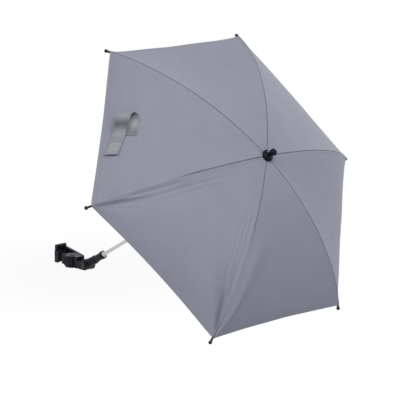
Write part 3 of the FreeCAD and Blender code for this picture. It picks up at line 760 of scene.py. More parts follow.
@dataclass(frozen=True)
class MouldedFinish(Finish):
    """Moulded plastic or rubber with fine grain and rubbed edges.

    Attributes:
        fineness: Fineness of the grain.
        grain: Depth of the grain.
        edge: Radius of the small edge rounding.
        specular: Level of the mirror part.
        rub: Share of the lighter colour on rubbed edges.
        rub_gain: Factor of the base colour in that lighter colour.
        rub_grey: Grey added to it.
        uneven: Share by which the roughness varies both ways.
    """

    fineness: float = 2600.0
    grain: float = 0.00005
    edge: float = 0.0005
    specular: float = 0.35
    rub: float = 0.35
    rub_gain: float = 2.2
    rub_grey: float = 0.02
    uneven: float = 0.12

    def build(self, effects: Effects) -> Material:
        """Make the moulding's surface.

        Args:
            effects: Shared node groups.

        Returns:
            The new material.
        """
        made, bench, shader = self.begin()
        grain = bench.use(effects.grain, Fineness=self.fineness)
        edges = bench.use(effects.edges, Radius=self.edge)
        lighter = tuple(part * self.rub_gain + self.rub_grey for part in self.colour)
        share = bench.math("MULTIPLY", edges.outputs["Mask"], self.rub)
        bench.feed(shader.inputs["Base Color"], bench.blend(share, self.shade(1.0), (*lighter, 1.0)))
        low = (1.0 - self.uneven) * self.roughness
        high = min(1.0, (1.0 + self.uneven) * self.roughness)
        sheen = bench.ease(grain.outputs["Sheen"], *NOISE_SPAN, low, high)
        bench.feed(shader.inputs["Roughness"], sheen)
        bump = bench.bump(grain.outputs["Height"], strength=0.4, distance=self.grain)
        bench.feed(bump.inputs["Normal"], edges.outputs["Normal"])
        bench.feed(shader.inputs["Normal"], bump.outputs[0])
        shader.inputs["Specular IOR Level"].default_value = self.specular
        return made


@dataclass(frozen=True)
class PolishedFinish(MouldedFinish):
    """Polished moulding that shows hardly any grain and no rubbing."""

    fineness: float = 500.0
    grain: float = 0.00001
    rub: float = 0.0


@dataclass(frozen=True)
class PlatedFinish(Finish):
    """Plated steel with soft changes of polish.

    Attributes:
        edge: Radius of the small edge rounding.
        fineness: Fineness of the grain under the plating.
        polished: Factor of the roughness where it is brightest.
        dulled: Factor of the roughness where it is dullest.
    """

    edge: float = 0.00025
    fineness: float = 900.0
    polished: float = 0.8
    dulled: float = 1.25

    def build(self, effects: Effects) -> Material:
        """Make the plating.

        Args:
            effects: Shared node groups.

        Returns:
            The new material.
        """
        made, bench, shader = self.begin()
        grain = bench.use(effects.grain, Fineness=self.fineness)
        edges = bench.use(effects.edges, Radius=self.edge)
        low, high = self.polished * self.roughness, self.dulled * self.roughness
        sheen = bench.ease(grain.outputs["Sheen"], *NOISE_SPAN, low, high)
        bench.feed(shader.inputs["Roughness"], sheen)
        bench.feed(shader.inputs["Normal"], edges.outputs["Normal"])
        shader.inputs["Metallic"].default_value = 1.0
        return made


PALETTE: tuple[Finish, ...] = (
    ClothFinish(Slot.CLOTH, (0.300, 0.304, 0.360), roughness=0.85),
    WebbingFinish(Slot.WEBBING, (0.340, 0.341, 0.370), roughness=0.8),
    WebbingFinish(Slot.PATCH, (0.395, 0.400, 0.400), roughness=0.95, pitch=0.0016, depth=0.0004),
    PolishedFinish(Slot.TIP, (0.008, 0.008, 0.010), roughness=0.22, edge=0.0002, specular=0.22),
    PlatedFinish(Slot.FRAME, (0.56, 0.56, 0.57), roughness=0.32),
    PlatedFinish(Slot.ROD, (0.55, 0.55, 0.56), roughness=0.24),
    PlatedFinish(Slot.COLLAR, (0.56, 0.56, 0.58), roughness=0.14),
    PolishedFinish(Slot.FINIAL, (0.006, 0.007, 0.012), roughness=0.16, edge=0.0003, specular=0.09),
    MouldedFinish(Slot.CLAMP, (0.006, 0.007, 0.016), roughness=0.34, specular=0.18),
    MouldedFinish(Slot.KNOB, (0.006, 0.007, 0.014), roughness=0.32, specular=0.18),
    MouldedFinish(
        Slot.PAD,
        (0.010, 0.010, 0.010),
        roughness=0.75,
        fineness=1800.0,
        grain=0.00008,
        edge=0.0003,
        specular=0.2,
        rub=0.1,
    ),
    PlatedFinish(Slot.FASTENER, (0.55, 0.55, 0.57), roughness=0.3),
    MouldedFinish(
        Slot.BOLT,
        (0.012, 0.012, 0.013),
        roughness=0.3,
        fineness=1200.0,
        grain=0.00002,
        edge=0.0003,
        specular=0.4,
        rub=0.3,
    ),
    MouldedFinish(Slot.RUNNER, (0.014, 0.014, 0.015), roughness=0.4),
)


class Dresser:
    """Gives pieces their finishes and makes each material once."""

    def __init__(self, finishes: Iterable[Finish]) -> None:
        """Start with the finishes and no material.

        Args:
            finishes: One finish for each slot.
        """
        self.finishes = {finish.slot: finish for finish in finishes}
        self.effects = Effects()
        self.made: dict[Slot, Material] = {}

    def dress(self, piece: Piece, slot: Slot) -> Piece:
        """Put a slot's finish on a piece.

        Args:
            piece: Mesh object.
            slot: Slot whose finish it gets.

        Returns:
            The same piece.
        """
        if slot not in self.made:
            self.made[slot] = self.finishes[slot].build(self.effects)
        piece.data.materials.clear()
        piece.data.materials.append(self.made[slot])
        log.info("%s: %d faces, %s", piece.name, len(piece.data.polygons), slot.value)
        return piece


@dataclass(frozen=True)
class Pleat:
    """Soft fold that runs from a rib's tip beside its seam.

    Attributes:
        height: Height of the fold, below zero for a valley.
        start: Distance of its middle line from the seam, past the tip.
        lean: Growth of that distance for each metre from the tip.
        inner: Half width towards the seam.
        outer: Half width away from the seam.
        near: Distance from the tip where it begins.
        far: Distance from the tip where it ends.
        crease: Share of painted shade along the bottom of a sharp valley.
        leaving: Length from the tip in which the middle line leaves the seam.
        narrow: Share of the width at the tip.
        widened: Share of the way to its end at which it has its full width.
        waver: Share by which the width wavers.
        waves: Phase of that wavering for each metre.
        shift: Phase that the lean and the start add, so that no two folds waver together.
        rising: Shares of the length before and past its beginning in which the fold rises.
        falling: Share of the length before its end in which it falls.
        held: Distance from the seam within which the cloth stays down.
    """

    height: float
    start: float
    lean: float
    inner: float
    outer: float
    near: float
    far: float
    crease: float = 0.0
    leaving: ClassVar[float] = 0.03
    narrow: ClassVar[float] = 0.30
    widened: ClassVar[float] = 0.5
    waver: ClassVar[float] = 0.10
    waves: ClassVar[float] = 52.0
    shift: ClassVar[Pair] = (7.0, 300.0)
    rising: ClassVar[Pair] = (0.11, 0.22)
    falling: ClassVar[float] = 0.352
    held: ClassVar[float] = 0.0026

    def share(self, away: Array, back: Array, width: float = 1.0) -> Array:
        """Share of the fold's full height.

        Args:
            away: Distance from the seam.
            back: Distance from the tip along the seam.
            width: Factor of the fold's width.

        Returns:
            Shares from 0 to 1.
        """
        middle = self.start * settle(back, self.leaving) + self.lean * back
        widening = self.narrow + (1.0 - self.narrow) * smooth(back, 0.0, self.widened * self.far)
        phase = self.waves * back + self.shift[0] * self.lean + self.shift[1] * self.start
        wave = 1.0 + self.waver * np.sin(phase)
        half = np.where(away < middle, self.inner, self.outer) * widening * wave * width
        span = self.far - self.near
        reach = smooth(back, self.near - self.rising[0] * span, self.near + self.rising[1] * span)
        reach = reach * (1.0 - smooth(back, self.far - self.falling * span, self.far))
        return reach * (1.0 - bell(away, self.held)) * bell(away - middle, half)


@dataclass(frozen=True)
class CanopyShape:
    """Outer surface of the cloth in the pole frame.

    A gore lies between two ribs. A place on it is a length from the crown along
    a rib's arc and a share across, from -1 at its first rib to 1 at its second.

    Attributes:
        ribs: Count of the ribs and gores.
        first_rib: Angle of the first rib around the pole.
        tip_radius: Distance of a rib's tip from the pole.
        crown_reach: Level of the ribs' crown over the tilt pivot.
        rise: Height of the crown over the tips.
        rim_radius: Distance of a cloth corner from the pole.
        lift: Height of the cloth over the ribs' middle line.
        hole: Length from the crown to the edge of the hole for the finial.
        seam_depth: Depth of a seam's groove.
        seam_half: Half width of that groove.
        seam_fade: Length in which a hidden seam comes into sight.
        seam_lean: Distance from a seam in which the outward way turns to the gore's own.
        welt: Height of the turned-in cloth beside a seam.
        welt_away: Distance of its middle from the seam.
        welt_half: Its half width.
        sag: Depth of a gore's plain sag.
        sag_power: Power that moves the deepest place towards the hem.
        hem_width: Width of the hem's turn-in.
        hem_rise: Height of the turn-in.
        hem_step: Half the width of its step.
        hem_pull: Depth to which the hem's stitches pull the cloth.
        hem_pull_half: Half width of that line.
        hem_reach: Length by which the hem reaches past the corner.
        drop_ramp: Distance from a rib in which the hem's reach and drop begin.
        hem_drop: How far each gore bends down at its hem.
        drop_length: Length of that bend in each gore.
        drop_limit: Longest run of the bend, going on past the hem, as a share of its length.
        hem_draw: How far the middle of each hem is drawn towards the crown.
        ripple: Height of the hem's slow ripple.
        ripple_reach: Length in which the ripple dies out.
        ripple_phase: Phase of the ripple for each share across and for each gore.
        gather: Height of the small gathers round the crown.
        gather_from: Length from the crown where they begin to die out.
        gather_reach: Length in which they die out.
        gather_phase: Phase of the gathers for each share across.
        gather_held: Distance from a seam within which the cloth stays down.
        seam_from: Distance from the tip at which each rib's seam is in full sight.
        seam_least: How much each seam shows before that.
        seam_tip: Distance from the tip within which each seam shows again.
        seam_tip_full: Share of that distance within which it shows in full.
        seam_gap: Rib, distance from the tip, half width and strength of the place where a seam gapes.
        pleats: Folds at the two corners where the cloth is pulled, by rib and side.
        puckers: Small folds at each of the other corners.
        crease_shade_width: Width of a crease's painted shade as a share of its fold.
        slack: Slow waves of each gore: one, two and three along it, then one and two that tilt it across.
    """

    ribs: int = 6
    first_rib: float = math.radians(30.0)
    tip_radius: float = 0.350
    crown_reach: float = 0.6436
    rise: float = 0.1366
    rim_radius: float = 0.3445
    lift: float = 0.0032
    hole: float = 0.0054
    seam_depth: float = 0.0008
    seam_half: float = 0.0011
    seam_fade: float = 0.06
    seam_lean: float = 0.012
    welt: float = 0.00035
    welt_away: float = 0.0033
    welt_half: float = 0.0021
    sag: float = 0.0025
    sag_power: float = 1.1
    hem_width: float = 0.009
    hem_rise: float = 0.00022
    hem_step: float = 0.0008
    hem_pull: float = 0.00012
    hem_pull_half: float = 0.0010
    hem_reach: float = 0.0033
    drop_ramp: float = 0.013
    hem_drop: Numbers = (0.0046, 0.0046, 0.0046, 0.0046, 0.0100, 0.0030)
    drop_length: Numbers = (0.085, 0.085, 0.085, 0.085, 0.150, 0.110)
    drop_limit: float = 1.2
    hem_draw: Numbers = (0.0040, 0.0020, 0.0050, 0.0038, 0.0077, 0.0058)
    ripple: float = 0.0004
    ripple_reach: float = 0.04
    ripple_phase: Pair = (8.3, 1.9)
    gather: float = 0.0005
    gather_from: float = 0.011
    gather_reach: float = 0.022
    gather_phase: float = 11.0
    gather_held: float = 0.0016
    seam_from: Numbers = (0.0, 0.0, 0.0, 0.0, 0.212, 0.240)
    seam_least: Numbers = (1.0, 1.0, 1.0, 1.0, 0.0, 0.30)
    seam_tip: Numbers = (0.0, 0.0, 0.0, 0.0, 0.0, 0.042)
    seam_tip_full: float = 0.7
    seam_gap: tuple[int, float, float, float] = (4, 0.212, 0.018, 0.5)
    # In order: height, start, lean, inner, outer, near, far and crease, the share of painted shade.
    pleats: ClassVar[dict[tuple[int, Side], tuple[Pleat, ...]]] = {
        (5, Side.LEFT): (
            Pleat(-0.0024, 0.0, 0.245, 0.0052, 0.0095, 0.000, 0.096, 0.62),
            Pleat(-0.0018, 0.0, 0.42, 0.0060, 0.0110, 0.020, 0.140, 0.12),
            Pleat(-0.0006, 0.0, 0.12, 0.0080, 0.0090, 0.002, 0.160, 0.30),
            Pleat(-0.0006, 0.0, 0.30, 0.0080, 0.0110, 0.004, 0.150, 0.24),
            Pleat(-0.0008, 0.0100, 0.005, 0.0024, 0.0030, 0.080, 0.300),
            Pleat(-0.0009, 0.0190, 0.012, 0.0024, 0.0032, 0.090, 0.280),
            Pleat(-0.0006, 0.0280, 0.020, 0.0026, 0.0034, 0.105, 0.240),
        ),
        (5, Side.RIGHT): (
            Pleat(0.0062, 0.0180, 0.06, 0.0160, 0.0210, 0.002, 0.220),
            Pleat(-0.0020, 0.0080, 0.40, 0.0040, 0.0050, 0.012, 0.100, 0.30),
            Pleat(-0.0010, 0.0060, 0.74, 0.0040, 0.0050, 0.030, 0.110),
        ),
        (4, Side.RIGHT): (
            Pleat(-0.0041, 0.0200, 0.03, 0.0150, 0.0340, 0.008, 0.230),
            Pleat(-0.0014, 0.0, 0.25, 0.0045, 0.0050, 0.010, 0.120),
            Pleat(-0.0020, 0.0110, 0.0, 0.0055, 0.0034, 0.068, 0.185),
            Pleat(0.0014, 0.0140, 0.0, 0.0034, 0.0032, 0.050, 0.115),
            Pleat(0.0011, 0.0070, 0.02, 0.0026, 0.0028, 0.030, 0.075),
            Pleat(-0.0010, 0.0240, 0.0, 0.0028, 0.0030, 0.100, 0.285),
            Pleat(-0.0015, 0.0120, 0.20, 0.0040, 0.0028, 0.008, 0.100),
            Pleat(-0.0010, 0.0230, 0.22, 0.0034, 0.0028, 0.014, 0.075),
            Pleat(-0.0007, 0.0330, 0.02, 0.0030, 0.0034, 0.120, 0.265),
        ),
        (4, Side.LEFT): (
            Pleat(-0.0016, 0.0160, 0.05, 0.0120, 0.0160, 0.006, 0.160),
            Pleat(-0.0008, 0.0050, 0.26, 0.0032, 0.0036, 0.018, 0.135),
            Pleat(0.0009, 0.0, 0.55, 0.0040, 0.0040, 0.008, 0.090),
        ),
    }
    puckers: ClassVar[tuple[Pleat, ...]] = (
        Pleat(-0.00045, 0.002, 0.20, 0.0030, 0.0040, 0.006, 0.075),
        Pleat(-0.000315, 0.004, 0.46, 0.0036, 0.0046, 0.010, 0.060),
    )
    crease_shade_width: float = 0.7
    slack: tuple[Numbers, ...] = (
        (-0.0012, 0.0012, 0.0, 0.0018, 0.0004),
        (0.0016, -0.0020, 0.0012, 0.0010, -0.0016),
        (-0.0040, 0.0030, -0.0022, -0.0028, 0.0020),
        (-0.0016, -0.0022, 0.0016, 0.0014, 0.0020),
        (0.0036, -0.0032, 0.0018, 0.0024, 0.0020),
        (-0.0022, 0.0020, 0.0002, 0.0004, 0.0010),
    )

    @property
    def gore(self) -> float:
        """Angle of one gore."""
        return 2.0 * math.pi / self.ribs

    @property
    def rib_radius(self) -> float:
        """Radius of the ribs' arc."""
        return (self.tip_radius**2 + self.rise**2) / (2.0 * self.rise)

    @property
    def rib_length(self) -> float:
        """Length of a rib's arc from the crown to its tip."""
        return self.rib_radius * math.asin(self.tip_radius / self.rib_radius)

    @property
    def level(self) -> float:
        """Level of the arc's centre."""
        return self.crown_reach - self.rib_radius

    @property
    def radius(self) -> float:
        """Radius of the cloth over the ribs."""
        return self.rib_radius + self.lift

    @property
    def length(self) -> float:
        """Length of a seam from the crown to the corner."""
        return self.radius * math.asin(self.rim_radius / self.radius)

    def rib_angle(self, rib: int) -> float:
        """Angle of a rib around the pole."""
        return self.first_rib + self.gore * rib

    def half_width(self, arc: Array) -> Array:
        """Half the width of a gore."""
        return self.radius * np.sin(arc / self.radius) * math.sin(self.gore / 2.0)

    def hem_at(self, gore: int, across: Array) -> Array:
        """Place of the hem.

        Args:
            gore: Gore's number.
            across: Share across.

        Returns:
            Length from the crown at which the hem lies.
        """
        away = (1.0 - np.abs(across)) * self.half_width(np.asarray(self.length))
        reach = self.hem_reach * settle(away, self.drop_ramp)
        return self.length + reach - self.hem_draw[gore] * (1.0 - across**2)

    def seam_strength(self, rib: int, arc: Array) -> Array:
        """How much a rib's seam shows.

        Args:
            rib: Rib's number from 0.
            arc: Length from the crown.

        Returns:
            0 where pulled cloth hides the seam, 1 where it shows, and more where it gapes.
        """
        back = self.length - arc
        start, least = self.seam_from[rib], self.seam_least[rib]
        shown = least + (1.0 - least) * smooth(back, start - self.seam_fade, start)
        tip = self.seam_tip[rib]
        shown = np.maximum(shown, 1.0 - smooth(back, self.seam_tip_full * tip, tip + TINY))
        gaping, middle, half, strength = self.seam_gap
        if rib == gaping:
            shown = shown + strength * bell(back - middle, half)
        return shown

    def corner(self, rib: int, side: Side) -> tuple[Pleat, ...]:
        """Folds on one side of a rib's tip."""
        return self.pleats.get((rib, side), self.puckers)

    def folds(self, rib: int, side: Side, away: Array, arc: Array) -> Array:
        """Height of a rib's folds at distances from its seam and lengths from the crown."""
        back = np.maximum(self.length - arc, 0.0)
        return sum(pleat.height * pleat.share(away, back) for pleat in self.corner(rib, side))

    def creases(self, rib: int, side: Side, away: Array, arc: Array) -> Array:
        """Share of the painted crease shade at distances from a rib's seam and lengths from the crown."""
        back, width = np.maximum(self.length - arc, 0.0), self.crease_shade_width
        return sum(pleat.crease * pleat.share(away, back, width) for pleat in self.corner(rib, side))

    def slackness(self, gore: int, share: Array, across: Array) -> Array:
        """Slow waves of a gore's slack cloth.

        Args:
            gore: Gore's number.
            share: Share of the way from the crown to the corner.
            across: Share across.

        Returns:
            Height of the waves.
        """
        first, second, third, tilt, twist = self.slack[gore]
        one, two, three = (np.sin(count * math.pi * share) for count in (1.0, 2.0, 3.0))
        even = first * one + second * two + third * three
        odd = tilt * one + twist * two
        return (1.0 - across**2) * (even + across * odd)

    def height(self, gore: int, arc: Array, across: Array) -> Array:
        """Height of the cloth over the plain stretched gore.

        Args:
            gore: Gore's number, that of its first rib.
            arc: Length from the crown.
            across: Share across.

        Returns:
            Heights along the outward direction.
        """
        half = self.half_width(arc)
        share = np.clip(arc / self.length, 0.0, 1.0)
        total = -self.sag * (1.0 - across**2) * np.sin(math.pi * share**self.sag_power)
        total = total + self.slackness(gore, share, across)
        borders = (
            (gore, Side.RIGHT, (1.0 + across) * half),
            ((gore + 1) % self.ribs, Side.LEFT, (1.0 - across) * half),
        )
        for rib, side, away in borders:
            shown = np.minimum(self.seam_strength(rib, arc), 1.0)
            total = total - self.seam_depth * shown * bell(away, self.seam_half)
            total = total + self.welt * shown * bell(away - self.welt_away, self.welt_half)
            total = total + self.folds(rib, side, away, arc)
        near = np.minimum(1.0 + across, 1.0 - across) * half
        fading = np.exp(-np.maximum(arc - self.gather_from, 0.0) / self.gather_reach)
        gathers = np.cos(self.gather_phase * across + gore) * fading
        total = total + self.gather * gathers * (1.0 - bell(near, self.gather_held))
        return total + self.hem_height(gore, arc, across, near)

    def hem_height(self, gore: int, arc: Array, across: Array, near: Array) -> Array:
        """Height that the hem adds: its turn-in, its bend downwards and its ripple.

        Args:
            gore: Gore's number.
            arc: Length from the crown.
            across: Share across.
            near: Distance from the nearer seam.

        Returns:
            Heights along the outward direction.
        """
        back = self.hem_at(gore, across) - arc
        turned = 1.0 - smooth(back, self.hem_width - self.hem_step, self.hem_width + self.hem_step)
        total = self.hem_rise * turned
        total = total - self.hem_pull * bell(back - self.hem_width, self.hem_pull_half)
        bend = np.clip(1.0 - back / self.drop_length[gore], 0.0, self.drop_limit) ** 2
        total = total - self.hem_drop[gore] * bend * settle(near, self.drop_ramp)
        waves = np.sin(self.ripple_phase[0] * across + self.ripple_phase[1] * gore)
        return total + self.ripple * (1.0 - across**2) * np.exp(-np.abs(back) / self.ripple_reach) * waves

    def place(self, gore: int, arc: Array, across: Array) -> Array:
        """Points of the cloth's outer face.

        Args:
            gore: Gore's number.
            arc: Length from the crown.
            across: Share across.

        Returns:
            Points in the pole frame.
        """
        arc, across = np.broadcast_arrays(np.asarray(arc, float), np.asarray(across, float))
        turn = arc / self.radius
        first, second = self.rib_angle(gore), self.rib_angle(gore + 1)
        share = (1.0 + across) / 2.0
        flat = self.radius * np.sin(turn)
        x = flat * ((1.0 - share) * math.cos(first) + share * math.cos(second))
        y = flat * ((1.0 - share) * math.sin(first) + share * math.sin(second))
        z = self.level + self.radius * np.cos(turn)
        half = self.half_width(arc)
        away = (1.0 - np.abs(across)) * half
        lean = smooth(away / np.minimum(self.seam_lean, half + TINY), 0.0, 1.0)
        middle = (first + second) / 2.0
        rib = np.where(across < 0.0, first, second)
        heading = rib + (middle - rib) * lean
        steep = np.sin(turn) * (1.0 + (1.0 / math.cos(self.gore / 2.0) - 1.0) * lean)
        outward = np.stack([steep * np.cos(heading), steep * np.sin(heading), np.cos(turn)], -1)
        outward /= np.linalg.norm(outward, axis=-1, keepdims=True)
        return np.stack([x, y, z], -1) + self.height(gore, arc, across)[..., None] * outward

    def normals(self, gore: int, arc: Array, across: Array) -> Array:
        """Outward directions square to the cloth.

        Args:
            gore: Gore's number.
            arc: Length from the crown.
            across: Share across.

        Returns:
            Unit directions in the pole frame.
        """
        arc, across = np.broadcast_arrays(np.asarray(arc, float), np.asarray(across, float))
        step, least_width = 0.00025, 0.001
        sideways = step / np.maximum(self.half_width(arc), least_width)
        low, high = np.maximum(across - sideways, -1.0), np.minimum(across + sideways, 1.0)
        over = self.place(gore, arc, high) - self.place(gore, arc, low)
        down = self.place(gore, arc + step, across) - self.place(gore, arc - step, across)
        found = np.cross(down, over)
        return found / np.linalg.norm(found, axis=-1, keepdims=True)


@dataclass
class Canopy:
    """Cloth cover: two halves of a gore hang on each rib.

    Attributes:
        shape: Surface of the cloth.
        pole: Frame of the pole.
        thickness: Thickness of the cloth.
        rows: Rows of vertices from the crown to the hem's band.
        hem_rows: Rows of vertices in that band.
        hem_band: Width of the band.
        columns: Columns of vertices from the seam to the gore's middle.
        grading: Power that draws the columns to the seam.
        turn_width: Distance from the rib in which the cloth goes over to the flap's turn.
        weave_shift: Shift of the weave from gore to gore.
    """

    shape: CanopyShape
    pole: PoleFrame
    thickness: float = 0.0005
    rows: int = 88
    hem_rows: int = 12
    hem_band: float = 0.014
    columns: int = 54
    grading: float = 1.6
    turn_width: float = 0.025
    weave_shift: float = 0.1

    def stations(self) -> Array:
        """Rows of vertices, closer at the hem.

        Returns:
            Shares of the way from the crown's hole to the hem.
        """
        border = 1.0 - self.hem_band / self.shape.length
        body = np.linspace(0.0, border, self.rows, endpoint=False)
        return np.concatenate([body, np.linspace(border, 1.0, self.hem_rows)])

    def grid(self, rib: int, side: Side) -> tuple[int, Array, Array]:
        """Places of a half gore's vertices.

        Args:
            rib: Rib's number from 0.
            side: Side of the rib.

        Returns:
            The gore's number, lengths from the crown and shares across.
        """
        shares = np.linspace(0.0, 1.0, self.columns) ** self.grading
        if side is Side.RIGHT:
            gore, across = rib, -1.0 + shares
        else:
            gore, across = (rib - 1) % self.shape.ribs, 1.0 - shares
        down, over = np.meshgrid(self.stations(), across, indexing="ij")
        hem = self.shape.hem_at(gore, over)
        return gore, self.shape.hole + down * (hem - self.shape.hole), over

    @staticmethod
    def shell_faces(rows: int, columns: int, flipped: bool) -> Faces:
        """Faces of a thin closed shell over a grid: outside, inside and rim.

        Args:
            rows: Rows of the grid.
            columns: Columns of the grid.
            flipped: Whether the outside runs the other way round.

        Returns:
            Faces over the outer points followed by the inner ones, the rim's last.
        """
        index = np.arange(rows * columns).reshape(rows, columns)
        under = index + rows * columns
        outer = np.stack([index[:-1, :-1], index[1:, :-1], index[1:, 1:], index[:-1, 1:]], -1).reshape(-1, 4)
        inner = np.stack([under[:-1, :-1], under[:-1, 1:], under[1:, 1:], under[1:, :-1]], -1).reshape(-1, 4)
        rim = [(index[i, 0], index[i + 1, 0]) for i in range(rows - 1)]
        rim += [(index[-1, j], index[-1, j + 1]) for j in range(columns - 1)]
        rim += [(index[i + 1, -1], index[i, -1]) for i in range(rows - 1)]
        rim += [(index[0, j + 1], index[0, j]) for j in range(columns - 1)]
        base = rows * columns
        walls = np.array([(b, a, a + base, b + base) for a, b in rim])
        faces = np.concatenate([outer, inner, walls])
        return (faces[:, ::-1] if flipped else faces).tolist()

    @staticmethod
    def soften(piece: Piece, points: Array, faces: Faces, normals: Array) -> None:
        """Shade the cloth by its own directions, and its rim flat.

        Args:
            piece: The half gore.
            points: Its points, the outer ones first.
            faces: Its faces, the rim's last.
            normals: Outward direction at each place of the grid.
        """
        rows, columns = normals.shape[:2]
        flat = normals.reshape(-1, 3)
        quads = np.array(faces)
        corners = np.concatenate([flat, -flat])[quads]
        first_wall = 2 * (rows - 1) * (columns - 1)
        walls = points[quads[first_wall:]]
        square = np.cross(walls[:, 2] - walls[:, 0], walls[:, 3] - walls[:, 1])
        square /= np.linalg.norm(square, axis=1, keepdims=True)
        corners[first_wall:] = square[:, None]
        piece.data.normals_split_custom_set(corners.reshape(-1, 3).tolist())

    def half(self, rib: int, side: Side) -> Piece:
        """Build the cloth between a rib and the middle of a gore.

        Args:
            rib: Rib's number from 0.
            side: Side of the rib.

        Returns:
            The new piece.
        """
        gore, arc, across = self.grid(rib, side)
        outer = self.pole.points(self.shape.place(gore, arc, across))
        normals = self.pole.directions(self.shape.normals(gore, arc, across))
        inner = outer - self.thickness * normals
        points = np.concatenate([outer.reshape(-1, 3), inner.reshape(-1, 3)])
        faces = self.shell_faces(*arc.shape, side is Side.LEFT)
        piece = MeshKit.piece(f"canopy_{rib + 1}_{side.name.lower()}", points, faces, sharp_deg=180.0)
        self.soften(piece, points, faces, normals)
        half_width = self.shape.half_width(arc)
        away = (1.0 - np.abs(across)) * half_width
        # Share of painted shade along the bottoms of sharp creases.
        dark = self.shape.creases(rib, side, away, arc)
        from_hem = self.shape.hem_at(gore, across) - arc
        fields = {
            "cloth_at": (across * half_width, arc, np.full_like(arc, self.weave_shift * gore)),
            "cloth_edge": (away, from_hem, self.shape.seam_strength(rib, arc)),
            "cloth_crease_shade": (dark, dark, dark),
        }
        for name, parts in fields.items():
            values = np.stack(parts, -1).reshape(-1, 3)
            MeshKit.vector_field(piece, name, np.concatenate([values, values]))
        return piece

    def hang(self, piece: Piece, rib: int, side: Side) -> None:
        """Hide the flap that a half gore stands in for, and bake the half gore's place into its mesh.

        Args:
            piece: The half gore.
            rib: Rib's number from 0.
            side: Side of the rib.
        """
        flap = f"panel_{rib + 1}_{side.name.lower()}"
        angle = self.shape.rib_angle(rib)
        sideways = np.array([-math.sin(angle), math.cos(angle), 0.0]) * side.value
        start = np.array([0.0, 0.0, self.shape.level])
        end = start + self.turn_width * sideways
        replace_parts(piece, flap)
        self.pole.points(start).tolist()
        self.pole.points(end).tolist()
        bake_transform(piece)
        width = float(self.shape.half_width(self.shape.length))

    def build(self, dresser: Dresser) -> None:
        """Make and dress every half gore.

        Args:
            dresser: Gives the finishes.
        """
        for rib in range(self.shape.ribs):
            for side in Side:
                piece = self.half(rib, side)
                dresser.dress(piece, Slot.CLOTH)
                self.hang(piece, rib, side)


